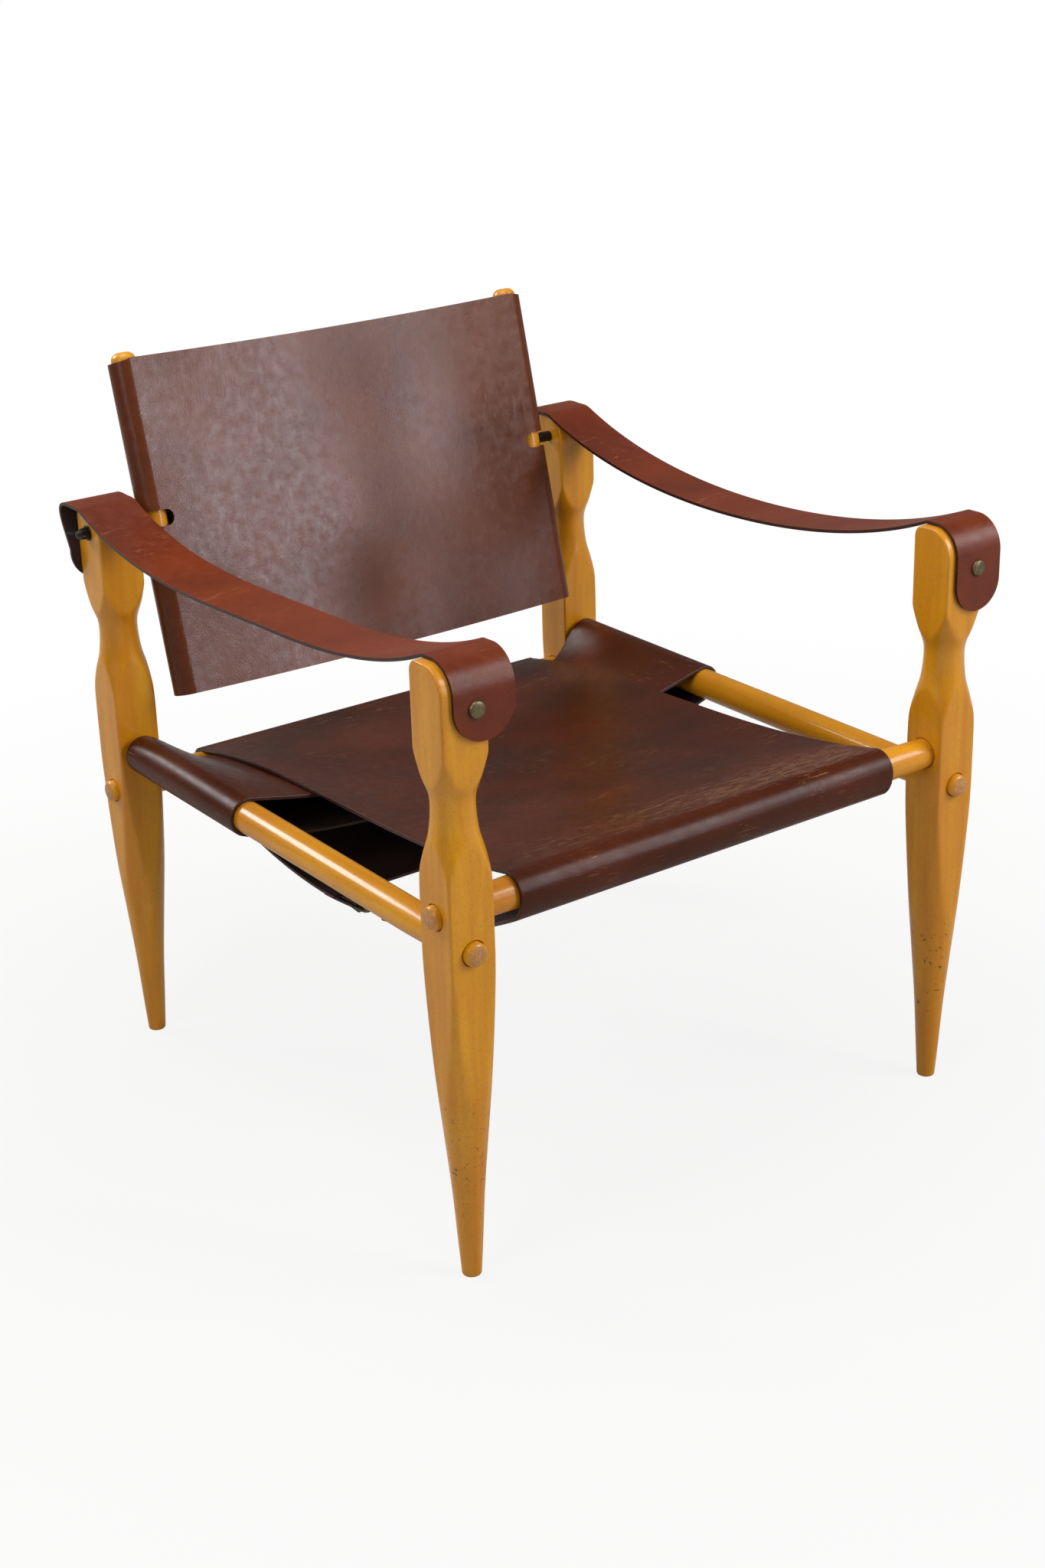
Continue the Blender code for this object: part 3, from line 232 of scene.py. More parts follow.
# Stage: the camera's azimuth, elevation and roll were fitted to the photograph
CAMERA_SPOT = (-1.23846, -1.73311, 1.17545)
CAMERA_TURNS = (radians(-35.7195), radians(22.6038), radians(-1.6597))
CAMERA_LENS = 54.314
LIT_MIDDLE = Vector((0, 0, 0.4))
WHITE = (1.0, 1.0, 1.0, 1.0)
GLOSS_SHARE = 0.1

# Worked out from the sizes above
ALONG_X = Matrix.Rotation(pi / 2, 4, "Y")
ALONG_Y = Matrix.Rotation(-pi / 2, 4, "X")
LEG_HALF = LEG_STOCK / 2
LEG_CORNER = LEG_HALF * sqrt(2)
LEG_X = STANCE_WIDTH / 2
LEG_Y = STANCE_DEPTH / 2
ROLL = RAIL_RADIUS + GAP + LEATHER / 2
SLEEVE = UPRIGHT_RADIUS + GAP + LEATHER / 2
FRONT_REACH = LEG_Y + LEG_HALF + GAP + ARM_THICKNESS + GAP + SCREW_HEAD_THICKNESS
REAR_REACH = LEG_Y + BACK_ABOVE * sin(BACK_LEAN) + (SLEEVE + LEATHER / 2) * cos(BACK_LEAN)
DATUM = Matrix.Translation((0, (FRONT_REACH - REAR_REACH) / 2, 0))
BACK = DATUM @ Matrix.Translation((0, LEG_Y, PIVOT_HEIGHT)) @ Matrix.Rotation(-BACK_LEAN, 4, "X")
CROSS_REAR = LEG_Y - LEG_HALF - CROSS_REAR_CLEARANCE
SHEET_STEP = LEATHER + 2 * GAP
BELT_LOW = LEATHER / 2 + BELT_GAP + BELT_THICKNESS / 2
BAR_OUT = BELT_LOW + BELT_THICKNESS / 2 + GAP + BAR_RADIUS
TAB_FOLD = BAR_RADIUS + GAP + TAB_THICKNESS / 2
TAB_LOW = LEATHER / 2 + BELT_GAP + TAB_THICKNESS / 2
TAB_HIGH = TAB_LOW + TAB_THICKNESS + GAP
BELT_FOLD = TAB_FOLD + TAB_THICKNESS / 2 + GAP + BELT_THICKNESS / 2
RIVET_TOP = TAB_HIGH + TAB_THICKNESS / 2 + GAP + RIVET_HEAD
BELT_REST = RIVET_TOP + GAP + BELT_THICKNESS / 2
RING = BAR_RADIUS + GAP + PRONG_RADIUS

SIDES = {"left": -1, "right": 1}
ENDS = {"front": -1, "rear": 1}

# Fineness: how many steps the full turn of a round piece is cut into
LEG_SEGMENTS = 96
RAIL_SEGMENTS = 64
UPRIGHT_SEGMENTS = 48
PLATE_SEGMENTS = 40
BOLT_SEGMENTS = 32
RIVET_SEGMENTS = 24
HOLE_SEGMENTS = 20

# Groups of inputs of a noise and of a range, which take their values as one row
FIGURE = ("Scale", "Detail", "Roughness", "Distortion")
REACH = ("From Min", "From Max", "To Max", "To Min")


def linear(hex_colour):
    """An sRGB hex colour as linear red, green and blue."""
    parts = [int(hex_colour[place:place + 2], 16) / 255 for place in (1, 3, 5)]
    return tuple(c / 12.92 if c <= 0.04045 else ((c + 0.055) / 1.055) ** 2.4 for c in parts)


def colour_setting(name, description, hex_colour):
    return FloatVectorProperty(
        name=name, description=description, subtype="COLOR", min=0, max=1,
        default=linear(hex_colour))


def size_setting(name, description, size):
    return FloatProperty(name=name, description=description, unit="LENGTH", min=0, default=size)


def share_setting(name, description, share):
    return FloatProperty(
        name=name, description=description, subtype="FACTOR", min=0, max=1, default=share)


# Settings

class ChairWoodSettings(bpy.types.PropertyGroup):
    arris: size_setting("Arris", "Rounding sanded on every edge of the legs", 0.0018)
    bore_gap: size_setting("Bore gap", "Open ring round each tenon", 0.0009)
    honey: colour_setting("Honey", "Lighter wood of the lacquered beech", "#E8A416")
    amber: colour_setting("Amber", "Darker wood of the lacquered beech", "#C87C0A")
    fleck: colour_setting("Fleck", "Short ray flecks in the beech", "#9A611F")
    end_grain: colour_setting("End grain", "Cut ends of the tenons", "#D2904A")
    lacquer_roughness: share_setting("Lacquer roughness", "Roughness of the clear coat", 0.13)


class ChairLeatherSettings(bpy.types.PropertyGroup):
    saddle_dark: colour_setting("Saddle dark", "Darker parts of the saddle leather", "#331405")
    saddle_light: colour_setting("Saddle light", "Lighter parts of the saddle leather", "#55220B")
    back_dark: colour_setting("Back dark", "Darker parts of the back leather", "#4E240E")
    back_light: colour_setting("Back light", "Lighter parts of the back leather", "#70391E")
    strap_dark: colour_setting("Strap dark", "Darker parts of the arm leather", "#571D08")
    strap_light: colour_setting("Strap light", "Lighter parts of the arm leather", "#7C3311")
    flesh: colour_setting("Flesh side", "Rough inner side of the leather", "#2C1913")
    edge: colour_setting("Edge", "Burnished cut edge of the leather", "#2A130D")
    edge_round: size_setting("Edge rounding", "Rounding of the burnished edges", 0.0007)


class ChairMetalSettings(bpy.types.PropertyGroup):
    steel: colour_setting("Steel", "Darkened steel of the pivots", "#4A4744")
    brass: colour_setting("Brass", "Dulled brass of screws, rivets and buckles", "#7D7052")


class ChairStudioSettings(bpy.types.PropertyGroup):
    floor: colour_setting("Floor", "Plain pale floor", "#CBC9C4")
    floor_size: size_setting("Floor size", "Side of the square floor", 60.0)


# Finishes

def feed(tree, node, inputs):
    """Links each input from its (node, output), or gives it its value; a group takes a row."""
    for socket, source in inputs.items():
        if isinstance(socket, tuple):
            feed(tree, node, dict(zip(socket, source)))
        elif isinstance(source, tuple) and isinstance(source[0], bpy.types.Node):
            tree.links.new(source[0].outputs[source[1]], node.inputs[socket])
        else:
            node.inputs[socket].default_value = source


def add_node(tree, kind, inputs=None, **settings):
    """A node with its own settings and its inputs, linked or given a value."""
    node = tree.nodes.new(kind)
    for name, value in settings.items():
        setattr(node, name, value)
    feed(tree, node, inputs or {})
    return node


def new_material(name):
    material = bpy.data.materials.new(name)
    material.use_nodes = True
    tree = material.node_tree
    return material, tree, tree.nodes["Principled BSDF"]


def opaque(colour, gain=1.0):
    """A colour for a node's input, darker or paler by its gain."""
    return (*(channel * gain for channel in colour), 1.0)


def beech(name, grain, dented=False):
    """European beech under amber lacquer; grain is 0, 1 or 2 for wood along X, Y or Z."""
    look = bpy.context.scene.chair_wood
    material, tree, shader = new_material(name)
    place = add_node(tree, "ShaderNodeTexCoord")
    wood = opaque(look.honey)
    layers = {
        # broad heart and sap streaks, about 25 mm across and 14 times longer than wide
        "streak": (0.07, (40.0, 3.0, 0.55, 0.5), (0.30, 0.72, 1.0), look.amber),
        # growth rings, about 2.5 mm apart
        "ring": (0.07, (400.0, 2.0, 0.6, 0.2), (0.45, 0.75, 0.20), look.amber),
        # patches where the lacquer has yellowed unevenly, about 60 mm
        "cloud": (1.0, (16.0, 2.0, 0.5, 0.0), (0.35, 0.70, 0.35), look.amber),
        # ray flecks are 0.3 mm wide and 2 mm long, drawn a little coarser
        "fleck": (0.22, (1500.0, 1.0, 0.5, 0.0), (0.56, 0.70, 0.34), look.fleck),
    }
    noises = {}
    for layer, (squeeze, figure, reach, colour) in layers.items():
        scale = [1.0, 1.0, 1.0]
        scale[grain] = squeeze
        along = add_node(
            tree, "ShaderNodeMapping", {"Vector": (place, "Object"), "Scale": scale})
        noise = add_node(
            tree, "ShaderNodeTexNoise", {"Vector": (along, "Vector"), FIGURE: figure})
        share = add_node(
            tree, "ShaderNodeMapRange", {"Value": (noise, "Fac"), REACH: reach})
        wood = add_node(
            tree, "ShaderNodeMix", {0: (share, "Result"), 6: wood, 7: opaque(colour)},
            data_type="RGBA"), 2
        noises[layer] = noise
    pores = add_node(
        tree, "ShaderNodeMapRange",
        {"Value": (noises["fleck"], "Fac"), "From Min": 0.56, "From Max": 0.70, "To Max": 0.3})
    marks = 0.0
    if dented:
        # knocks from feet and brooms: between 50 and 190 mm above the floor
        up = add_node(tree, "ShaderNodeSeparateXYZ", {"Vector": (place, "Object")})
        knock = add_node(
            tree, "ShaderNodeTexNoise",
            {"Vector": (place, "Object"), FIGURE: (190.0, 3.0, 0.7, 0.8)})
        marks = 1.0
        for source, low, high in (
                ((up, "Z"), 0.055, 0.090), ((up, "Z"), 0.190, 0.150),
                ((knock, "Fac"), 0.625, 0.650)):
            share = add_node(
                tree, "ShaderNodeMapRange", {"Value": source, "From Min": low, "From Max": high})
            marks = add_node(
                tree, "ShaderNodeMath", {0: marks, 1: (share, "Result")},
                operation="MULTIPLY"), "Value"
        depth = add_node(tree, "ShaderNodeMath", {0: marks, 1: 0.85}, operation="MULTIPLY")
        wood = add_node(
            tree, "ShaderNodeMix",
            {0: (depth, "Value"), 6: wood, 7: opaque(linear("#2E1C0E"))}, data_type="RGBA"), 2
    sunk = add_node(
        tree, "ShaderNodeMath", {0: (pores, "Result"), 1: marks}, operation="ADD")
    relief = add_node(
        tree, "ShaderNodeBump",
        {"Height": (sunk, "Value"), "Strength": 0.35, "Distance": 0.0003}, invert=True)
    rough = add_node(
        tree, "ShaderNodeMapRange",
        {"Value": (noises["ring"], "Fac"), REACH: (0.3, 0.7, 0.42, 0.30)})
    feed(tree, shader, {
        "Base Color": wood, "Roughness": (rough, "Result"), "Normal": (relief, "Normal"),
        "IOR": 1.5, "Specular IOR Level": 0.3, "Coat Weight": 0.4,
        "Coat Roughness": look.lacquer_roughness})
    return material


def hide(name, dark, light, wear, roughness, shine, rubbed_front):
    """Grain side of thick waxed cowhide. Its UV map is in metres, so its scales are real."""
    material, tree, shader = new_material(name)
    place = add_node(tree, "ShaderNodeUVMap", uv_map="UVMap")
    colour = opaque(dark)
    # clouds where the dye took unevenly, about 110 mm and then 12 mm
    for figure, reach in (
            ((9.0, 3.0, 0.5, 0.2), (0.25, 0.75, 1.0)), ((85.0, 3.0, 0.6, 0.0), (0.45, 0.75, 0.25))):
        patch = add_node(
            tree, "ShaderNodeTexNoise", {"Vector": (place, "UV"), FIGURE: figure})
        share = add_node(
            tree, "ShaderNodeMapRange", {"Value": (patch, "Fac"), REACH: reach})
        colour = add_node(
            tree, "ShaderNodeMix", {0: (share, "Result"), 6: colour, 7: opaque(light)},
            data_type="RGBA"), 2
    # the worst wear, where legs rub: just behind the front rail, more to the right
    spot = add_node(tree, "ShaderNodeTexCoord")
    at = add_node(tree, "ShaderNodeSeparateXYZ", {"Vector": (spot, "Object")})
    worn = 1.0
    for axis, reach in (
            ("Y", (-0.21, -0.25, 1.0, 0.0)), ("Y", (-0.305, -0.290, 1.0, 0.0)),
            ("X", (-0.18, 0.05, rubbed_front, 0.4 * rubbed_front))):
        share = add_node(
            tree, "ShaderNodeMapRange", {"Value": (at, axis), REACH: reach})
        worn = add_node(
            tree, "ShaderNodeMath", {0: worn, 1: (share, "Result")}, operation="MULTIPLY"), "Value"
    rubbed = add_node(
        tree, "ShaderNodeTexNoise",
        {"Vector": (place, "UV"), FIGURE: (11.0, 2.0, 0.5, 0.0)})
    patches = add_node(
        tree, "ShaderNodeMapRange", {"Value": (rubbed, "Fac"), "From Min": 0.50, "From Max": 0.62})
    zone = add_node(
        tree, "ShaderNodeMath", {0: (patches, "Result"), 1: worn}, operation="MAXIMUM")
    marks = 0.0
    # scratches 1 mm wide and 10 to 30 mm long, in three directions, only in those zones
    for turned, across, along in ((0.5, 620.0, 45.0), (-0.35, 540.0, 38.0), (1.25, 700.0, 80.0)):
        way = add_node(
            tree, "ShaderNodeMapping",
            {"Vector": (place, "UV"), "Rotation": (0.0, 0.0, turned),
             "Scale": (along, across, 1.0)})
        scratch = add_node(
            tree, "ShaderNodeTexNoise",
            {"Vector": (way, "Vector"), FIGURE: (1.0, 1.0, 0.4, 0.7)})
        deep = add_node(
            tree, "ShaderNodeMath", {0: worn, 1: 0.1, 2: (scratch, "Fac")},
            operation="MULTIPLY_ADD")
        line = add_node(
            tree, "ShaderNodeMapRange",
            {"Value": (deep, "Value"), "From Min": 0.705, "From Max": 0.735})
        marks = add_node(
            tree, "ShaderNodeMath", {0: marks, 1: (line, "Result")}, operation="MAXIMUM"), "Value"
    for source in ((zone, "Value"), wear):
        marks = add_node(
            tree, "ShaderNodeMath", {0: marks, 1: source}, operation="MULTIPLY"), "Value"
    depth = add_node(tree, "ShaderNodeMath", {0: marks, 1: 0.85}, operation="MULTIPLY")
    pale = [channel ** 0.5 for channel in light]
    colour = add_node(
        tree, "ShaderNodeMix", {0: (depth, "Value"), 6: colour, 7: opaque(pale, 0.75)},
        data_type="RGBA"), 2
    rough = add_node(
        tree, "ShaderNodeMapRange",
        {"Value": (patch, "Fac"),
         REACH: (0.25, 0.75, roughness + 0.09, roughness - 0.07)})
    # pores and fine grain, 0.6 mm on the hide, drawn at 1.1 mm so that they show
    pore = add_node(
        tree, "ShaderNodeTexVoronoi", {"Vector": (place, "UV"), "Scale": 900.0})
    grain = add_node(
        tree, "ShaderNodeMath", {0: (pore, "Distance"), 1: 0.35, 2: (patch, "Fac")},
        operation="MULTIPLY_ADD")
    height = add_node(
        tree, "ShaderNodeMath", {0: (grain, "Value"), 1: marks}, operation="SUBTRACT")
    # slow waves of a used hide, a few millimetres deep over a hand's width
    slow = add_node(
        tree, "ShaderNodeTexNoise", {"Vector": (place, "UV"), "Scale": 6.5, "Detail": 0.0})
    wave = add_node(
        tree, "ShaderNodeBump", {"Height": (slow, "Fac"), "Strength": 1.0, "Distance": 0.006})
    relief = add_node(
        tree, "ShaderNodeBump",
        {"Height": (height, "Value"), "Normal": (wave, "Normal"),
         "Strength": 0.15, "Distance": 0.0008})
    feed(tree, shader, {
        "Base Color": colour, "Roughness": (rough, "Result"), "Normal": (relief, "Normal"),
        "IOR": 1.5, "Specular IOR Level": shine})
    return material


def mottled(name, colour, gain, figure, reach, fixed, rough=None, bump=None, mapped=False):
    """One noise blends a colour with its darker or paler self, and stirs gloss and relief."""
    material, tree, shader = new_material(name)
    if mapped:
        place = add_node(tree, "ShaderNodeUVMap", uv_map="UVMap"), "UV"
    else:
        place = add_node(tree, "ShaderNodeTexCoord"), "Object"
    spots = add_node(
        tree, "ShaderNodeTexNoise", {"Vector": place, FIGURE: figure})
    share = add_node(
        tree, "ShaderNodeMapRange", {"Value": (spots, "Fac"), REACH: reach})
    tone = add_node(
        tree, "ShaderNodeMix", {0: (share, "Result"), 6: opaque(colour), 7: opaque(colour, gain)},
        data_type="RGBA")
    feed(tree, shader, {"Base Color": (tone, 2), **fixed})
    if rough:
        gloss = add_node(
            tree, "ShaderNodeMapRange",
            {"Value": (spots, "Fac"), REACH: (0.3, 0.7, rough[1], rough[0])})
        feed(tree, shader, {"Roughness": (gloss, "Result")})
    if bump:
        relief = add_node(
            tree, "ShaderNodeBump",
            {"Height": (spots, "Fac"), "Strength": bump[0], "Distance": bump[1]})
        feed(tree, shader, {"Normal": (relief, "Normal")})
    return material


def end_grain(name):
    """Cut end of a dowel, with growth arcs about 1.2 mm apart."""
    return mottled(
        name, bpy.context.scene.chair_wood.end_grain, 0.45, (520.0, 3.0, 0.7, 0.4), (0.35, 0.7),
        {"Roughness": 0.5, "Coat Weight": 0.3, "Coat Roughness": 0.25}, bump=(0.5, 0.0003))


def flesh_side(name):
    """Inner side of the hide: matted fibres of about 1 mm, no gloss."""
    return mottled(
        name, bpy.context.scene.chair_leather.flesh, 1.9, (700.0, 4.0, 0.75, 0.8), (0.3, 0.75),
        {"Roughness": 0.92}, bump=(0.6, 0.0006), mapped=True)


def burnished_edge(name):
    """Cut edge, rubbed smooth and dark, with the layers of the hide just showing."""
    return mottled(
        name, bpy.context.scene.chair_leather.edge, 2.6, (450.0, 3.0, 0.6, 0.0), (0.35, 0.8),
        {}, rough=(0.32, 0.5))


def aged_metal(name, colour, roughness, tarnish):
    """Metal with patches of tarnish of about 4 mm and specks of 0.5 mm."""
    return mottled(
        name, colour, tarnish, (240.0, 5.0, 0.65, 0.0), (0.38, 0.66),
        {"Metallic": 1.0}, rough=(roughness, roughness + 0.2), bump=(0.15, 0.0002))


def finish(name, make, *values):
    """The material of that name, made the first time it is asked for."""
    return bpy.data.materials.get(name) or make(name, *values)


def dulled_brass():
    return finish("dulled brass", aged_metal, bpy.context.scene.chair_metal.brass, 0.34, 0.55)


def leather_finishes(kind):
    """Grain side, flesh side and cut edge, in the order of a leather piece's material slots."""
    look = bpy.context.scene.chair_leather
    # wear, roughness, shine, and how far the front edge is rubbed
    looks = {
        "saddle": (look.saddle_dark, look.saddle_light, 1.0, 0.34, 0.2, 1.0),
        "back": (look.back_dark, look.back_light, 0.35, 0.24, 0.34, 0.0),
        "strap": (look.strap_dark, look.strap_light, 0.9, 0.36, 0.3, 0.0),
    }
    return (
        finish(f"waxed {kind} leather", hide, *looks[kind]),
        finish("leather flesh side", flesh_side),
        finish("burnished leather edge", burnished_edge),
    )


# Pieces

def add_object(name, data):
    item = bpy.data.objects.new(name, data)
    bpy.context.scene.collection.objects.link(item)
    return item


def add_piece(name, mesh, materials, body, nodes):
    """A finished piece that rides on a body and stands for solids of the frame."""
    for material in materials:
        mesh.materials.append(material)
    piece = add_object(name, mesh)
    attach(piece, body)
    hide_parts(*nodes)
    return piece


def add_modifier(piece, kind, **settings):
    modifier = piece.modifiers.new(kind.lower(), kind)
    for name, value in settings.items():
        setattr(modifier, name, value)


def new_mesh(name, bm):
    mesh = bpy.data.meshes.new(name)
    bm.to_mesh(mesh)
    bm.free()
    return mesh


def laid(bm, matrix):
    """The same shape in its place, with its faces turned outwards."""
    bmesh.ops.transform(bm, matrix=matrix, verts=bm.verts)
    bmesh.ops.recalc_face_normals(bm, faces=bm.faces)
    return bm


def add_cutter(name, bm, matrix, materials=(), index=0):
    mesh = new_mesh(name, laid(bm, matrix))
    for material in materials:
        mesh.materials.append(material)
    for face in mesh.polygons:
        face.material_index = index
    return add_object(name, mesh)


def combine(piece, cutters, operation="DIFFERENCE"):
    for cutter in cutters:
        add_modifier(piece, "BOOLEAN", operation=operation, solver="EXACT", object=cutter)


def evaluated_mesh(item):
    bpy.context.view_layer.update()
    depsgraph = bpy.context.evaluated_depsgraph_get()
    return bpy.data.meshes.new_from_object(
        item.evaluated_get(depsgraph), preserve_all_data_layers=True, depsgraph=depsgraph)


def settle(piece, cutters=()):
    """Makes the modifiers' result the piece's own mesh, and takes its cutters away."""
    mesh = evaluated_mesh(piece)
    piece.modifiers.clear()
    rough = piece.data
    piece.data = mesh
    bpy.data.meshes.remove(rough)
    mesh.name = piece.name
    for cutter in cutters:
        bpy.data.objects.remove(cutter, do_unlink=True)


def solid_mesh(name, bm, matrix, crease=CREASE):
    mesh = new_mesh(name, laid(bm, matrix))
    mesh.shade_smooth()
    mesh.set_sharp_from_angle(angle=crease)
    return mesh


def turn(outline, segments, hollow=False):
    """Spin (height, radius) pairs about Z; a hollow outline closes on itself, off the axis."""
    bm = bmesh.new()
    points = [bm.verts.new((radius, 0, height)) for height, radius in outline]
    pairs = list(zip(points, points[1:]))
    if hollow:
        pairs.append((points[-1], points[0]))
    edges = [bm.edges.new(pair) for pair in pairs]
    bmesh.ops.spin(
        bm, geom=points + edges, axis=(0, 0, 1), cent=(0, 0, 0),
        steps=segments, angle=2 * pi, use_merge=True)
    bmesh.ops.remove_doubles(bm, verts=bm.verts, dist=MERGE)
    return bm


def rod(start, end, radius, segments):
    return turn([(start, 0), (start, radius), (end, radius), (end, 0)], segments)


def plate(points, thickness):
    """A flat face through the points, and as far through as its thickness says."""
    bm = bmesh.new()
    face = bm.faces.new([bm.verts.new(point) for point in points])
    made = bmesh.ops.extrude_face_region(bm, geom=[face])
    moved = [item for item in made["geom"] if isinstance(item, bmesh.types.BMVert)]
    bmesh.ops.translate(bm, vec=thickness, verts=moved)
    return bm


def grid_mesh(name, rows):
    """A sheet's middle surface, with a UV map in metres measured along the leather."""
    columns = len(rows[0])
    bm = bmesh.new()
    layer = bm.loops.layers.uv.new("UVMap")
    bmesh.ops.create_grid(bm, x_segments=columns - 1, y_segments=len(rows) - 1, size=1)
    bm.verts.ensure_lookup_table()
    middle = columns // 2
    along = [0.0]
    for a, b in zip(rows, rows[1:]):
        along.append(along[-1] + (b[middle] - a[middle]).length)
    places = []
    for row, distance in zip(rows, along):
        across = -sum((b - a).length for a, b in zip(row[:middle], row[1:middle + 1]))
        places.append((across, distance))
        for a, b in zip(row, row[1:]):
            across += (b - a).length
            places.append((across, distance))
    for index, vertex in enumerate(bm.verts):
        vertex.co = rows[index // columns][index % columns]
        for loop in vertex.link_loops:
            loop[layer].uv = places[index]
    mesh = new_mesh(name, bm)
    mesh.shade_smooth()
    return mesh


def add_leather(name, rows, thickness, kind, body, node, cutters=(), flip=False):
    """Leather of an even thickness with burnished, rounded edges and any holes cut in it."""
    if flip:
        rows = [list(reversed(row)) for row in rows]
    piece = add_piece(name, grid_mesh(name, rows), leather_finishes(kind), body, [node])
    add_modifier(
        piece, "SOLIDIFY", thickness=thickness, offset=0, use_even_offset=True,
        material_offset=1, material_offset_rim=CUT_SLOT)
    combine(piece, cutters)
    add_modifier(
        piece, "BEVEL", width=bpy.context.scene.chair_leather.edge_round, segments=2,
        limit_method="ANGLE", angle_limit=CUT_CREASE)
    add_modifier(piece, "WEIGHTED_NORMAL", keep_sharp=True)
    settle(piece, cutters)
    return piece


# Lines in a plane: the first coordinate runs along, the second one up

def spread(start, end, steps):
    """Evenly spaced values from start to end, both included."""
    return [start + (end - start) * step / steps for step in range(steps + 1)]


def arc(centre, radius, start, end, steps):
    return [
        centre + radius * Vector((cos(angle), sin(angle))) for angle in spread(start, end, steps)]


def curve(start, start_slope, end, end_slope, steps, pull_share=1 / 3):
    pull = (end.x - start.x) * pull_share
    first = start + Vector((pull, pull * start_slope))
    last = end - Vector((pull, pull * end_slope))
    return bezier((start, first, last, end), steps)


def bezier(points, steps):
    return [
        point.to_2d() for point in interpolate_bezier(*(p.to_3d() for p in points), steps + 1)]


def line_length(line):
    return sum((b - a).length for a, b in zip(line, line[1:]))


def walk(line, along):
    """The point that far along a line, and the line's direction there."""
    left = along
    for a, b in zip(line, line[1:]):
        step = (b - a).length
        if left <= step or b is line[-1]:
            return a + (b - a) * (left / step), (b - a) / step
        left -= step


def beside(line, along, out):
    point, direction = walk(line, along)
    return point + out * Vector((direction.y, -direction.x))


def part_of(line, start, end, steps):
    return [walk(line, along)[0] for along in spread(start, end, steps)]


def joined(*lines):
    points = list(lines[0])
    for line in lines[1:]:
        points += line[1:]
    return points


def mirrored(line):
    """The line on the other side of the chair's middle, walked from its other end."""
    return [Vector((-point.x, point.y)) for point in reversed(line)]


def height_at(line, along):
    for a, b in zip(line, line[1:]):
        if a.x <= along <= b.x:
            return a.y + (b.y - a.y) * (along - a.x) / (b.x - a.x)
    raise ValueError("the line does not reach that far")


def dome(base, rise, radius, steps):
    """(height, radius) pairs from a rim up to the axis."""
    angles = spread(0, pi / 2, steps)[1:]
    rim = [(base + rise * sin(angle), radius * cos(angle)) for angle in angles]
    return rim[:-1] + [(base + rise, 0)]


def eased(points, steps):
    """More points on a smooth curve through the given (height, radius) pairs."""
    vectors = [Vector(point) for point in points]
    smooth = []
    for index in range(len(vectors) - 1):
        before = vectors[max(0, index - 1)]
        start = vectors[index]
        end = vectors[index + 1]
        after = vectors[min(len(vectors) - 1, index + 2)]
        run = end.x - start.x
        start_slope = (end.y - before.y) / (end.x - before.x)
        end_slope = (after.y - start.y) / (after.x - start.x)
        for step in range(steps):
            share = step / steps
            square = share * share
            cube = square * share
            value = (2 * cube - 3 * square + 1) * start.y + (3 * square - 2 * cube) * end.y
            value += (cube - 2 * square + share) * run * start_slope
            value += (cube - square) * run * end_slope
            smooth.append(Vector((start.x + run * share, value)))
    return smooth + [vectors[-1]]


# Legs

def leg_radii():
    """The turned outline, as (height, radius), without its foot and its arched top."""
    gain = LEG_CORNER - FOOT_RADIUS
    taper = [(FOOT_ROUND, FOOT_RADIUS)]
    taper += [(TAPER_TOP * up, FOOT_RADIUS + gain * out) for up, out in TAPER_SHARES]
    taper.append((TAPER_TOP, LEG_CORNER))
    waist = LEG_CORNER - NECK_RADIUS
    low = NECK_HEIGHT - WAIST_BOTTOM
    high = WAIST_TOP - NECK_HEIGHT
    neck = [(WAIST_BOTTOM + low * up, NECK_RADIUS + waist * out) for up, out in WAIST_LOW_SHARES]
    neck += [(NECK_HEIGHT + high * up, NECK_RADIUS + waist * out) for up, out in WAIST_HIGH_SHARES]
    return eased(taper, 12), eased(neck, 9)


def head_face(height, reach, drop):
    """How far the arched top has drawn a face in at that height."""
    up = max(0, height - (LEG_HEIGHT - drop)) / drop
    return reach * (1 - sqrt(max(0, 1 - up * up)))


def outside_leg(x, y, height, turned_radius, arris):
    """How far a point is outside the planed and turned leg; negative inside."""
    side = abs(x) - LEG_HALF
    face = abs(y) - LEG_HALF
    for reach, drop, way in (
            (HEAD_FRONT_REACH, HEAD_FRONT_DROP, -1), (HEAD_REAR_REACH, HEAD_REAR_DROP, 1)):
        run = way * y - (LEG_HALF - reach)
        rise = height - (LEG_HEIGHT - drop)
        if run > 0 and rise > 0:
            face = max(face, (hypot(run / reach, rise / drop) - 1) * min(reach, drop))
        elif rise > 0:
            face = max(face, rise - drop)
    if side > -arris and face > -arris:
        planed = hypot(side + arris, face + arris) - arris
    else:
        planed = max(side, face)
    turned = hypot(x, y) - turned_radius
    blend = max(0, SANDED_BLEND - abs(planed - turned))
    return max(planed, turned) + blend * blend / (4 * SANDED_BLEND)


def leg_rings():
    """Heights of a leg's rings, each with its turned radius."""
    taper, neck = leg_radii()
    rings = [(0, FOOT_RADIUS - FOOT_ROUND), (FOOT_ROUND * 0.3, FOOT_RADIUS - FOOT_ROUND * 0.3)]
    rings += [tuple(point) for point in taper]
    rings += [(height, LEG_CORNER) for height in spread(TAPER_TOP, WAIST_BOTTOM, 8)[1:-1]]
    rings += [tuple(point) for point in neck]
    arch = LEG_HEIGHT - HEAD_FRONT_DROP - ARCH_MARGIN
    rings += [(height, LEG_CORNER) for height in spread(WAIST_TOP, arch, 10)[1:-1]]
    # closer together towards the top of the arch
    turns = spread(0, pi / 2, 26)
    return rings + [(arch + (LEG_HEIGHT - arch) * sin(angle), LEG_CORNER) for angle in turns]


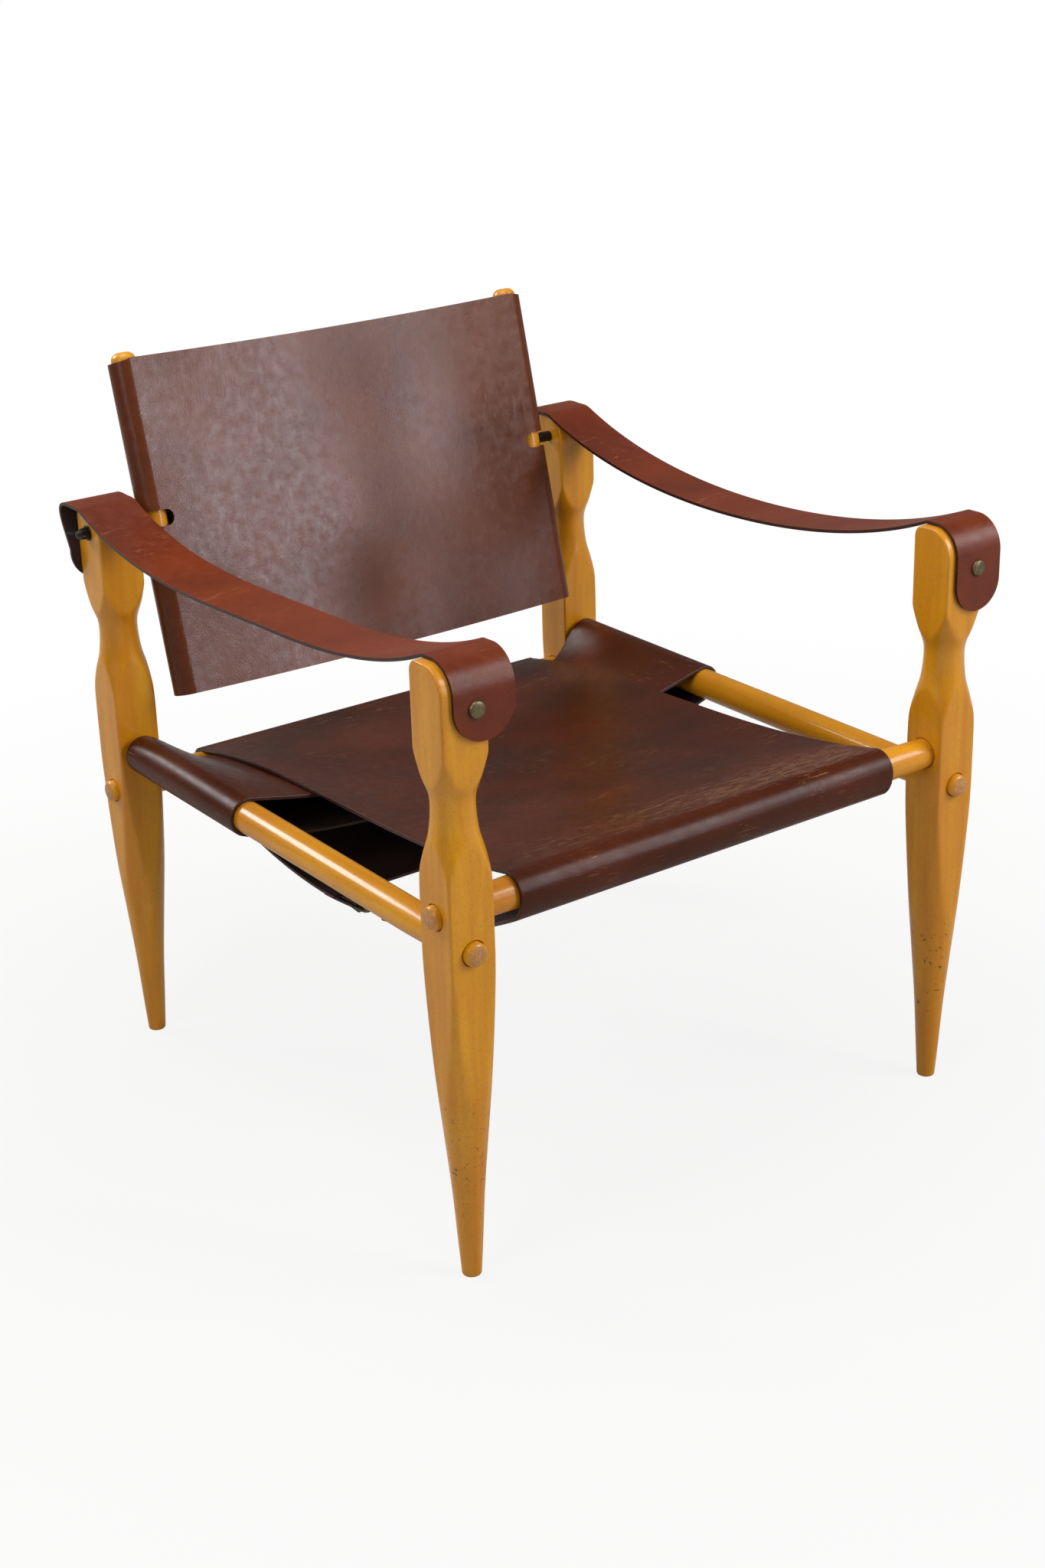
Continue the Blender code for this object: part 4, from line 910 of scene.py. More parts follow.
def leg_bmesh(arris):
    """Stock turned on a lathe, planed square, then sanded: found by rays out of its axis."""
    rings = leg_rings()
    bm = turn([(0, 0)] + rings + [(LEG_HEIGHT, 0)], LEG_SEGMENTS)
    outline = [Vector(ring) for ring in rings]
    for vertex in bm.verts:
        height = min(max(vertex.co.z, 0), outline[-1].x)
        radius = height_at(outline, height)
        front = -LEG_HALF + head_face(height, HEAD_FRONT_REACH, HEAD_FRONT_DROP)
        rear = LEG_HALF - head_face(height, HEAD_REAR_REACH, HEAD_REAR_DROP)
        middle = (front + rear) / 2
        if hypot(vertex.co.x, vertex.co.y) < MERGE:
            vertex.co.y = middle
            continue
        # crowd the points towards the four arrises
        sector = atan2(vertex.co.y, vertex.co.x) / (pi / 2)
        nearest = round(sector)
        share = min(1, abs(sector - nearest) * 2)
        crowded = (1 - (1 - share) ** ARRIS_CROWDING) / 2
        angle = (nearest + (crowded if sector > nearest else -crowded)) * pi / 2
        way = Vector((cos(angle) * LEG_HALF, sin(angle) * (rear - front) / 2)).normalized()
        low = 0
        high = LEG_STOCK
        for _ in range(HALVINGS):
            trial = (low + high) / 2
            if outside_leg(way.x * trial, middle + way.y * trial, height, radius, arris) > 0:
                high = trial
            else:
                low = trial
        vertex.co.x = way.x * low
        vertex.co.y = middle + way.y * low
    return bm


class OBJECT_OT_chair_legs(bpy.types.Operator):
    """Turn, plane and sand the four legs and bore them for the rails"""
    bl_idname = "object.chair_legs"
    bl_label = "Legs"

    def execute(self, context):
        look = context.scene.chair_wood
        pattern = leg_bmesh(look.arris)
        for end, way in ENDS.items():
            for side, out in SIDES.items():
                node = f"{end}_{side}_leg"
                place = DATUM @ Matrix.Translation((out * LEG_X, way * LEG_Y, 0))
                mesh = solid_mesh(node, pattern.copy(), place)
                wood = finish("lacquered beech, worn leg", beech, 2, True)
                if end == "rear":
                    wood = finish("lacquered beech, upright grain", beech, 2)
                leg = add_piece(node + "_beech", mesh, [wood], "frame", [node])
                cutters = self.bores(look.bore_gap, place, out, way)
                combine(leg, cutters)
                settle(leg, cutters)
                leg.data.set_sharp_from_angle(angle=CUT_CREASE)
        pattern.free()
        return {"FINISHED"}

    def bores(self, gap, place, out, way):
        """A through bore with a socket on the inner face, for each of a leg's two rails."""
        reach = LEG_HALF + OVERRUN
        floor = LEG_HALF - SOCKET_DEPTH
        cross_height = FRONT_RAIL_HEIGHT if way < 0 else REAR_RAIL_HEIGHT
        cutters = []
        for height, inward, along in (
                (cross_height, -out, ALONG_X), (SIDE_RAIL_HEIGHT, -way, ALONG_Y)):
            socket = sorted((inward * floor, inward * reach))
            for radius, start, end in (
                    (TENON_RADIUS + gap, -reach, reach), (RAIL_END_RADIUS + gap, *socket)):
                matrix = place @ Matrix.Translation((0, 0, height)) @ along
                cutters.append(
                    add_cutter("bore", rod(start, end, radius, RAIL_SEGMENTS), matrix))
        return cutters


def rail_outline(stance):
    """A rail from end to end, as (distance from its middle, radius)."""
    soft = TENON_SOFTENING
    face = stance / 2 - LEG_HALF
    shoulder = face + SOCKET_DEPTH - GAP
    end = stance / 2 + LEG_HALF + TENON_PROUD
    half = [
        (-end, 0),
        (-end, TENON_RADIUS - TENON_CHAMFER - soft),
        (-end + soft / 2, TENON_RADIUS - TENON_CHAMFER),
        (-end + TENON_CHAMFER, TENON_RADIUS - soft / 3),
        (-end + TENON_CHAMFER + soft, TENON_RADIUS),
        (-shoulder, TENON_RADIUS),
        (-shoulder, RAIL_END_RADIUS - RAIL_SHOULDER_ROUND),
        (-shoulder + RAIL_SHOULDER_ROUND, RAIL_END_RADIUS),
    ]
    gain = RAIL_RADIUS - RAIL_END_RADIUS
    for share in spread(0, 1, 10)[1:]:
        height = -shoulder + RAIL_SHOULDER_ROUND + (shoulder - face + RAIL_TAPER) * share
        half.append((height, RAIL_END_RADIUS + gain * sin(share * pi / 2)))
    return half + [(-height, radius) for height, radius in reversed(half)]


class OBJECT_OT_chair_rails(bpy.types.Operator):
    """Turn the four rails with their through tenons"""
    bl_idname = "object.chair_rails"
    bl_label = "Rails"

    def execute(self, context):
        heights = {"front": FRONT_RAIL_HEIGHT, "rear": REAR_RAIL_HEIGHT}
        for end, way in ENDS.items():
            place = Matrix.Translation((0, way * LEG_Y, heights[end])) @ ALONG_X
            self.add_rail(f"{end}_rail", STANCE_WIDTH, place, 0)
        for side, out in SIDES.items():
            place = Matrix.Translation((out * LEG_X, 0, SIDE_RAIL_HEIGHT)) @ ALONG_Y
            self.add_rail(f"{side}_rail", STANCE_DEPTH, place, 1)
        return {"FINISHED"}

    def add_rail(self, node, stance, place, grain):
        words = ("lacquered beech, cross rail", "lacquered beech, side rail")
        wood = finish(words[grain], beech, grain)
        ends = finish("beech end grain", end_grain)
        bm = turn(rail_outline(stance), RAIL_SEGMENTS)
        tip = stance / 2 + LEG_HALF + TENON_PROUD - TENON_CHAMFER / 4
        for face in bm.faces:
            face.material_index = 1 if abs(face.calc_center_median().z) > tip else 0
        mesh = solid_mesh(node, bm, DATUM @ place)
        add_piece(node + "_beech", mesh, [wood, ends], "frame", [node])


# Seat leather

def seat_slopes(sag):
    """Slopes of a line that hangs by its sag between the rails, at the front and the rear."""
    chord = (REAR_RAIL_HEIGHT - FRONT_RAIL_HEIGHT) / STANCE_DEPTH
    dip = 4 * sag / STANCE_DEPTH
    return chord - dip, chord + dip


def seat_lines(fine):
    """The long sheet seen from the side: front roll, top, rear roll and bottom."""
    front = Vector((-LEG_Y, FRONT_RAIL_HEIGHT))
    rear = Vector((LEG_Y, REAR_RAIL_HEIGHT))
    top_front, top_rear = seat_slopes(SEAT_SAG)
    low_front, low_rear = seat_slopes(SEAT_SLACK)
    deep = ROLL + SEAT_SLOUCH
    let_go = atan2(deep, -ROLL * low_front)
    turns = [let_go * (1 - step / (5 * fine)) for step in range(5 * fine)]
    under = [front - Vector((ROLL * cos(angle), deep * sin(angle))) for angle in turns]
    front_roll = under + arc(front, ROLL, pi, pi / 2 + atan(top_front), 6 * fine)
    rear_roll = arc(rear, ROLL, pi / 2 + atan(top_rear), -pi / 2 + atan(low_rear), 10 * fine)
    top = curve(front_roll[-1], top_front, rear_roll[0], top_rear, 12 * fine)
    bottom = curve(front_roll[0], low_front, rear_roll[-1], low_rear, 24 * fine)
    return front_roll, top, rear_roll, bottom


def depth_share(along):
    """0 over the front rail and 1 over the rear one."""
    return min(1, max(0, along / STANCE_DEPTH + 1 / 2))


def edge_rise(along):
    """How far the long edges are held above the middle: nothing at the rails."""
    share = depth_share(along)
    return SEAT_EDGE_RISE * 27 / 4 * share * share * (1 - share)


def seat_edges(along, on_top):
    drift = SEAT_FRONT_DRIFT + (SEAT_REAR_DRIFT - SEAT_FRONT_DRIFT) * depth_share(along)
    waist = SEAT_WAIST * (1 - min(1, (along / LEG_Y) ** 2)) if on_top else 0
    half = SEAT_WIDTH / 2 - waist
    return drift - half, drift + half


def dished(left, right, low, rise, steps):
    """Points across a sheet whose two edges are held above its middle."""
    return [
        Vector((left + (right - left) * share, low + rise * (2 * share - 1) ** 2))
        for share in spread(0, 1, steps)]


class OBJECT_OT_chair_seat(bpy.types.Operator):
    """Wrap the long seat sheet round the front and rear rails"""
    bl_idname = "object.chair_seat"
    bl_label = "Seat leather"

    def execute(self, context):
        front_roll, top, rear_roll, bottom = seat_lines(SEAT_FINENESS)
        front_flap = part_of(bottom, SEAT_FRONT_FLAP, 0, 30)
        rear_flap = part_of(bottom, line_length(bottom), SEAT_FRONT_FLAP + SEAT_FLAP_GAP, 50)
        path = joined(front_flap, front_roll, top, rear_roll, rear_flap)
        first_top = len(front_flap) + len(front_roll) - 2
        last_top = first_top + len(top) - 1
        rows = []
        for index, point in enumerate(path):
            on_top = first_top <= index <= last_top
            rise = edge_rise(point.x) if on_top else 0
            spots = dished(*seat_edges(point.x, on_top), point.y, rise, 36)
            rows.append([DATUM @ Vector((spot.x, point.x, spot.y)) for spot in spots])
        seat = add_leather(
            "seat_sheet_leather", rows, LEATHER, "saddle", "frame", "seat_sheet")
        return {"FINISHED"}


def cross_bottom(fine):
    """The cross sheet's underside seen from the front, from rail to rail."""
    rail = Vector((-LEG_X, SIDE_RAIL_HEIGHT))
    leave = atan(CROSS_BOTTOM_SLOPE)
    start = rail + ROLL * Vector((-sin(leave), -cos(leave)))
    low = Vector((0, SIDE_RAIL_HEIGHT - ROLL - CROSS_SLACK))
    left = curve(start, -CROSS_BOTTOM_SLOPE, low, 0, 14 * fine, CROSS_PULL_SHARE)
    return joined(left, mirrored(left))


def cross_row(along, seat_top, bottom):
    """One section: flap, roll, climb from under the long sheet, and the same on the other side."""
    rail = Vector((-LEG_X, SIDE_RAIL_HEIGHT))
    meet = atan(CROSS_BOTTOM_SLOPE)
    under = height_at(seat_top, along) - SHEET_STEP
    flat = dished(*seat_edges(along, True), under, edge_rise(along), 24)
    flap = part_of(bottom, (line_length(bottom) - CROSS_FLAP_GAP) / 2, 0, 34)
    sides = []
    for edge, inner, *_ in (flat, mirrored(flat)):
        slope = (inner.y - edge.y) / (inner.x - edge.x)
        end = edge + CROSS_EDGE_MARGIN * Vector((-1, -slope))
        leave = (rail.y + ROLL - end.y) / (end.x - rail.x)
        roll = arc(rail, ROLL, 1.5 * pi - meet, pi / 2 - atan(leave), 36)
        sides.append(joined(flap, roll, curve(roll[-1], -leave, end, slope, 18)))
    section = sides[0] + flat + mirrored(sides[1])
    return [DATUM @ Vector((point.x, along, point.y)) for point in section]


class OBJECT_OT_chair_cross_sheet(bpy.types.Operator):
    """Wrap the cross sheet round the side rails, inside the long sheet"""
    bl_idname = "object.chair_cross_sheet"
    bl_label = "Cross leather"

    def execute(self, context):
        seat_top = seat_lines(SEAT_FINENESS)[1]
        bottom = cross_bottom(SEAT_FINENESS)
        places = spread(CROSS_FRONT, CROSS_REAR, 30)
        sections = [cross_row(along, seat_top, bottom) for along in places]
        sheet = add_leather(
            "cross_sheet_leather", [list(points) for points in zip(*sections)], LEATHER,
            "saddle", "frame", "cross_sheet", flip=True)
        return {"FINISHED"}


# Back, built about its pivot: X along the pivot, Z up the uprights, Y behind

class OBJECT_OT_chair_uprights(bpy.types.Operator):
    """Turn the two round uprights of the back"""
    bl_idname = "object.chair_uprights"
    bl_label = "Uprights"

    def execute(self, context):
        top = BACK_ABOVE + UPRIGHT_SHOW
        bottom = -BACK_BELOW + UPRIGHT_RECESS
        flat = UPRIGHT_RADIUS - UPRIGHT_ROUND
        tip = [
            (UPRIGHT_ROUND * (1 - cos(angle)), flat + UPRIGHT_ROUND * sin(angle))
            for angle in spread(0, pi / 2, 5)]
        outline = [(bottom, 0)] + [(bottom + up, radius) for up, radius in tip]
        outline += [(height, UPRIGHT_RADIUS) for height in spread(bottom, top, 12)[1:-1]]
        outline += [(top - up, radius) for up, radius in reversed(tip)] + [(top, 0)]
        wood = finish("lacquered beech, upright grain", beech, 2)
        for side, out in SIDES.items():
            node = side + "_upright"
            place = BACK @ Matrix.Translation((out * UPRIGHT_X, 0, 0))
            mesh = solid_mesh(node, turn(outline, UPRIGHT_SEGMENTS), place)
            add_piece(node + "_beech", mesh, [wood], "back", [node])
        return {"FINISHED"}


def back_path():
    """The back leather seen from above, from one flap's edge to the other's."""
    left = [Vector((x, SLEEVE)) for x in spread(-BACK_FLAP_GAP / 2, -UPRIGHT_X, 24)[:-1]]
    left += arc(Vector((-UPRIGHT_X, 0)), SLEEVE, pi / 2, 1.5 * pi, 36)
    right = mirrored(left)
    front = [left[-1].lerp(right[0], step / 60) for step in range(1, 60)]
    return left + front + right


def slot_cutter(out, finishes):
    """The oblong slot at a pivot, rounded at its inner end."""
    radius = SLOT_HEIGHT / 2
    inner = UPRIGHT_X - SLOT_REACH + radius
    outer = UPRIGHT_X + SLEEVE + OVERRUN
    deep = SLEEVE + OVERRUN
    outline = [Vector((outer, -radius)), Vector((outer, radius))]
    outline += arc(Vector((inner, 0)), radius, pi / 2, 1.5 * pi, 16)
    bm = plate([(out * point.x, -deep, point.y) for point in outline], (0, 2 * deep, 0))
    return add_cutter("slot", bm, BACK, finishes, CUT_SLOT)


class OBJECT_OT_chair_back(bpy.types.Operator):
    """Wrap the back leather round its uprights"""
    bl_idname = "object.chair_back"
    bl_label = "Back leather"

    def execute(self, context):
        rows = []
        path = back_path()
        whole = line_length(path)
        behind = whole / 2 - UPRIGHT_X
        for index, point in enumerate(path):
            middle = 1 - min(1, (point.x / UPRIGHT_X) ** 2) if point.y < 0 else 0
            walked = line_length(path[:index + 1])
            walked = min(walked, whole - walked)
            drop = BACK_FLAP_DROP * sqrt(max(0, 1 - walked / behind))
            top = BACK_ABOVE - BACK_TOP_DROOP * middle - drop
            bottom = -BACK_BELOW - BACK_BOTTOM_DROOP * middle
            rows.append([BACK @ Vector((*point, up)) for up in spread(bottom, top, 44)])
        finishes = leather_finishes("back")
        cutters = [slot_cutter(out, finishes) for out in SIDES.values()]
        leather = add_leather(
            "back_sheet_leather", rows, LEATHER, "back", "back", "back_leather",
            cutters, flip=True)
        return {"FINISHED"}


# Arm straps

def over_leg(middle, lift, start, end, steps):
    """The strap over the arched top of a leg."""
    centre = Vector((middle - LEG_HALF + HEAD_FRONT_REACH, LEG_HEIGHT - HEAD_FRONT_DROP))
    wide = HEAD_FRONT_REACH + lift
    high = HEAD_FRONT_DROP + lift
    return [
        centre + Vector((-wide * cos(angle), high * sin(angle)))
        for angle in spread(start, end, steps)]


def arm_path(side):
    """The strap seen from the side, from its rounded front end to its rounded rear end."""
    lift = GAP + ARM_THICKNESS / 2
    front = -LEG_Y - LEG_HALF - lift
    rear = LEG_Y + LEG_HALF + lift
    top = LEG_HEIGHT + lift
    front_end = LEG_HEIGHT - ARM_HANGS[side]
    half = ARM_WIDTHS[side] / 2
    turns = [radians(angle) for angle in spread(5, 90, 16)]
    start = [Vector((front, front_end + half * (1 - cos(angle)))) for angle in turns]
    start_widths = [half * sin(angle) for angle in turns]
    front_arch = over_leg(-LEG_Y, lift, 0, pi / 2, 18)
    corner = Vector((-LEG_Y + LEG_HALF - HEAD_REAR_REACH, LEG_HEIGHT - HEAD_REAR_DROP))
    wide = HEAD_REAR_REACH + lift
    high = HEAD_REAR_DROP + lift
    leave_angles = [atan(wide / high * tan(angle)) for angle in spread(0, ARM_LEAVE, 6)]
    leave = [corner + Vector((wide * sin(angle), high * cos(angle))) for angle in leave_angles]
    meet_angle = atan((HEAD_FRONT_DROP + lift) / (HEAD_FRONT_REACH + lift) / tan(ARM_MEET))
    meet = over_leg(LEG_Y, lift, meet_angle, pi / 2, 8)
    low = Vector((-ARM_LOWS[side], top - ARM_SAGS[side]))
    first = curve(leave[-1], -tan(ARM_LEAVE), low, 0, 30, ARM_PULL_SHARE)
    second = curve(low, 0, meet[0], tan(ARM_MEET), 30, ARM_PULL_SHARE)
    let_go = Vector((LEG_Y + LEG_HALF - HEAD_REAR_REACH, top))
    rear_end = LEG_HEIGHT - ARM_REAR_HANG
    touch = Vector((rear, rear_end + half + ARM_REAR_FLAT))
    loop = bezier((
        let_go, let_go + Vector((ARM_BULGE, ARM_THICKNESS)),
        touch + Vector((ARM_BULGE / 3, (top - touch.y) * LOOP_PULL_SHARE)), touch), 29)
    end = [Vector((rear, rear_end + half * (1 - cos(angle)))) for angle in reversed(turns)]
    middle = front_arch + leave + first[1:] + second[1:-1] + meet + loop
    widths = start_widths + [half] * len(middle) + list(reversed(start_widths))
    return start + middle + end, widths


class OBJECT_OT_chair_arms(bpy.types.Operator):
    """Lay the two arm straps over the legs"""
    bl_idname = "object.chair_arms"
    bl_label = "Arm straps"

    def execute(self, context):
        for side, out in SIDES.items():
            path, halves = arm_path(side)
            rows = []
            for point, half in zip(path, halves):
                share = min(1, max(0, 1 / 2 - point.x / STANCE_DEPTH))
                middle = out * (LEG_X + ARM_OUTSET) + ARM_DRIFTS[side] * share ** 2
                spots = spread(middle - half, middle + half, 10)
                rows.append([DATUM @ Vector((spot, *point)) for spot in spots])
            node = side + "_arm_strap"
            strap = add_leather(
                node + "_leather", rows, ARM_THICKNESS, "strap", "frame", node)
        return {"FINISHED"}


class OBJECT_OT_chair_screws(bpy.types.Operator):
    """Set a domed screw through each end of the arm straps"""
    bl_idname = "object.chair_screws"
    bl_label = "Arm screws"

    def execute(self, context):
        rim = SCREW_HEAD_THICKNESS * SCREW_RIM_SHARE
        shoulder = SCREW_HEAD_RADIUS * SCREW_SHOULDER_SHARE
        outline = [
            (-SCREW_LENGTH, 0), (-SCREW_LENGTH, SCREW_RADIUS / 2),
            (-SCREW_LENGTH + SCREW_RADIUS, SCREW_RADIUS), (GAP, SCREW_RADIUS),
            (GAP, SCREW_HEAD_RADIUS), (GAP + METAL_SOFTENING, SCREW_HEAD_RADIUS),
            (GAP + rim, shoulder),
        ]
        outline += dome(GAP + rim, SCREW_HEAD_THICKNESS - rim, shoulder, 8)
        out_face = LEG_Y + LEG_HALF + GAP + ARM_THICKNESS
        drops = {"front": (SCREW_FRONT_DROP, SCREW_FRONT_DRIFT), "rear": (SCREW_REAR_DROP, 0)}
        for side, out in SIDES.items():
            for end, way in ENDS.items():
                drop, drift = drops[end]
                spot = (out * (LEG_X + ARM_OUTSET) + drift, way * out_face, LEG_HEIGHT - drop)
                place = DATUM @ Matrix.Translation(spot) @ Matrix.Rotation(-way * pi / 2, 4, "X")
                node = f"{end}_{side}_arm_screw"
                mesh = solid_mesh(node, turn(outline, PLATE_SEGMENTS), place, SCREW_CREASE)
                add_piece(
                    node + "_brass", mesh, [dulled_brass()], "frame", [node])
        return {"FINISHED"}


# Pivot hardware: turned along Z, then laid along X with its head on the inside

def bolt_outline():
    head = UPRIGHT_X - UPRIGHT_RADIUS - GAP
    end = LEG_X + LEG_HALF + GAP + WASHER_THICKNESS + GAP + HUB_HEIGHT + BOLT_SHOW
    outline = [(head - BOLT_HEAD_THICKNESS, 0)]
    for angle in spread(0, pi / 2, 8)[1:]:
        outline.append((
            head - BOLT_HEAD_THICKNESS / 3 - BOLT_HEAD_THICKNESS * 2 / 3 * cos(angle),
            BOLT_HEAD_RADIUS * sin(angle)))
    outline += [(head, BOLT_HEAD_RADIUS), (head, BOLT_RADIUS)]
    height = LEG_X + LEG_HALF
    while height < end - THREAD_PITCH:
        outline.append((height, BOLT_RADIUS))
        outline.append((height + THREAD_PITCH / 2, BOLT_RADIUS - THREAD_DEPTH))
        height += THREAD_PITCH
    return outline + [
        (end - THREAD_DEPTH, BOLT_RADIUS), (end, BOLT_RADIUS - THREAD_DEPTH), (end, 0)]


def ring_outline(low, high, outer):
    inner = BOLT_RADIUS + GAP
    soft = METAL_SOFTENING
    return [
        (low, inner), (low, outer - soft), (low + soft, outer), (high - soft, outer),
        (high, outer - soft), (high, inner),
    ]


def wing_bmesh(foot, way):
    """A rounded ear in the plane of Y and Z, thinner at its rim."""
    root = (HUB_RADIUS + BOLT_RADIUS + GAP) / 2
    tip = Vector((WING_REACH - WING_WIDTH / 2, foot + WING_RISE - WING_WIDTH / 2))
    outline = [Vector((root, foot + HUB_HEIGHT * 0.9)), Vector((root, foot + HUB_HEIGHT / 3))]
    outline += [Vector((HUB_RADIUS, foot + HUB_HEIGHT / 4))]
    outline += arc(tip, WING_WIDTH / 2, -pi / 4, pi, 16)
    bm = plate(
        [(-WING_THICKNESS / 2, way * p.x, p.y) for p in outline], (WING_THICKNESS, 0, 0))
    bmesh.ops.recalc_face_normals(bm, faces=bm.faces)
    rims = [edge for edge in bm.edges if abs(edge.verts[0].co.x - edge.verts[1].co.x) < MERGE]
    bmesh.ops.bevel(
        bm, geom=rims, offset=WING_THICKNESS / 4, segments=2, affect="EDGES",
        profile=0.5, material=-1)
    return bm


class OBJECT_OT_chair_pivots(bpy.types.Operator):
    """Fit the bolts, spacers, washers and wing nuts that the back turns on"""
    bl_idname = "object.chair_pivots"
    bl_label = "Pivots"

    def execute(self, context):
        steel = finish("darkened steel", aged_metal, context.scene.chair_metal.steel, 0.36, 0.5)
        inside = UPRIGHT_X + UPRIGHT_RADIUS + GAP
        outside = LEG_X + LEG_HALF + GAP
        spacer = ring_outline(inside, LEG_X - LEG_HALF - GAP, SPACER_RADIUS)
        washer = ring_outline(outside, outside + WASHER_THICKNESS, WASHER_RADIUS)
        for side, out in SIDES.items():
            place = DATUM @ Matrix.Translation((0, LEG_Y, PIVOT_HEIGHT))
            place = place @ Matrix.Rotation(out * pi / 2, 4, "Y")
            for word, shape in (
                    ("pivot_bolt", turn(bolt_outline(), BOLT_SEGMENTS)),
                    ("spacer", turn(spacer, BOLT_SEGMENTS, True)),
                    ("washer", turn(washer, PLATE_SEGMENTS, True))):
                node = f"{side}_{word}"
                mesh = solid_mesh(node, shape, place)
                add_piece(node + "_steel", mesh, [steel], "frame", [node])
            self.add_nut(side, outside + WASHER_THICKNESS + GAP, place, steel)
        return {"FINISHED"}

    def add_nut(self, side, foot, place, steel):
        inner = BOLT_RADIUS + GAP
        soft = HUB_SOFTENING
        hub = turn([
            (foot, inner), (foot, HUB_RADIUS - soft), (foot + soft, HUB_RADIUS),
            (foot + HUB_HEIGHT - soft, HUB_TOP_RADIUS + soft / 4),
            (foot + HUB_HEIGHT, HUB_TOP_RADIUS - soft), (foot + HUB_HEIGHT, inner),
        ], PLATE_SEGMENTS, True)
        node = side + "_wing_nut"
        mesh = solid_mesh(node, hub, place)
        nut = add_piece(node + "_steel", mesh, [steel], node, [node])
        wings = [add_cutter("wing", wing_bmesh(foot, way), place, [steel]) for way in (-1, 1)]
        combine(nut, wings, "UNION")
        settle(nut, wings)
        nut.data.shade_smooth()
        nut.data.set_sharp_from_angle(angle=CREASE)


# Belts, as on a satchel: each lies on the outer side of a line in its own plane

def belt_line(heel):
    """The belt's climb and turn over the buckle's bar, where it starts, and its laid tail."""
    low_point = heel - BUCKLE_LENGTH + BAR_RADIUS + GAP
    run = heel - low_point
    climb = BAR_OUT - BELT_LOW
    slope = atan2(climb, run) + asin(BELT_FOLD / hypot(run, climb))
    over = arc(Vector((heel, BAR_OUT)), BELT_FOLD, pi / 2 + slope, pi / 2, 10)
    tip = heel + BELT_TIP
    flat = Vector((heel + TAB_PINCH + TAB_THICKNESS, BELT_REST))
    lifted = Vector((tip - BELT_POINT, BELT_REST + BELT_TIP_LIFT / 2))
    end = Vector((tip, BELT_REST + BELT_TIP_LIFT))
    tail = [flat.lerp(lifted, step / 16) for step in range(17)]
    tail += [lifted.lerp(end, step / POINT_STEPS) for step in range(1, POINT_STEPS + 1)]
    return over, low_point, tail


class Bed:
    """Where a belt lies: a line in a plane, and the belt's own middle across it."""

    def __init__(self, line, centre, plane):
        self.line = line
        self.centre = centre
        self.plane = plane

    def rows(self, stations, halves):
        rows = []
        for station, half in zip(stations, halves):
            point = beside(self.line, station.x, station.y)
            spots = spread(self.centre - half, self.centre + half, 6)
            rows.append([self.plane @ Vector((spot, *point)) for spot in spots])
        return rows

    def place(self, along, out):
        """A frame on the line: X across the belt, Y along it, and -Z out of the sheet."""
        point = beside(self.line, along, out)
        direction = walk(self.line, along)[1]
        tilt = Matrix.Rotation(atan2(direction.y, direction.x), 4, "X")
        return self.plane @ Matrix.Translation((self.centre, *point)) @ tilt


def wire_mesh(name, points, radius, closed, matrix):
    """A round wire through points, made a mesh, with its place in the mesh."""
    data = bpy.data.curves.new(name, "CURVE")
    data.dimensions = "3D"
    data.bevel_depth = radius
    data.bevel_resolution = 4
    data.use_fill_caps = not closed
    spline = data.splines.new("POLY")
    spline.points.add(len(points) - 1)
    for target, point in zip(spline.points, points):
        target.co = (*point, 1)
    spline.use_cyclic_u = closed
    rough = add_object(name, data)
    mesh = evaluated_mesh(rough)
    bpy.data.objects.remove(rough, do_unlink=True)
    bpy.data.curves.remove(data)
    mesh.transform(matrix)
    mesh.shade_smooth()
    mesh.set_sharp_from_angle(angle=WIRE_CREASE)
    return mesh


def belt_rivets(spots, inner, outer):
    """Rivets along their own Z: domed head outside, flat washer inside."""
    low = inner - GAP
    high = outer + GAP
    outline = [
        (low - RIVET_WASHER, 0), (low - RIVET_WASHER, RIVET_HEAD_RADIUS - METAL_SOFTENING),
        (low - RIVET_WASHER / 2, RIVET_HEAD_RADIUS), (low, RIVET_HEAD_RADIUS),
        (low, RIVET_RADIUS), (high, RIVET_RADIUS), (high, RIVET_HEAD_RADIUS),
    ] + dome(high, RIVET_HEAD, RIVET_HEAD_RADIUS, 6)
    whole = bmesh.new()
    for spot in spots:
        mesh = new_mesh("rivet", laid(turn(outline, RIVET_SEGMENTS), spot))
        whole.from_mesh(mesh)
        bpy.data.meshes.remove(mesh)
    return whole


def block_cutter(place, low, high, finishes):
    bm = bmesh.new()
    bmesh.ops.create_cube(bm, size=1)
    bmesh.ops.scale(bm, vec=Vector(high) - Vector(low), verts=bm.verts)
    bmesh.ops.translate(bm, vec=(Vector(high) + Vector(low)) / 2, verts=bm.verts)
    return add_cutter("block", bm, place, finishes, CUT_SLOT)


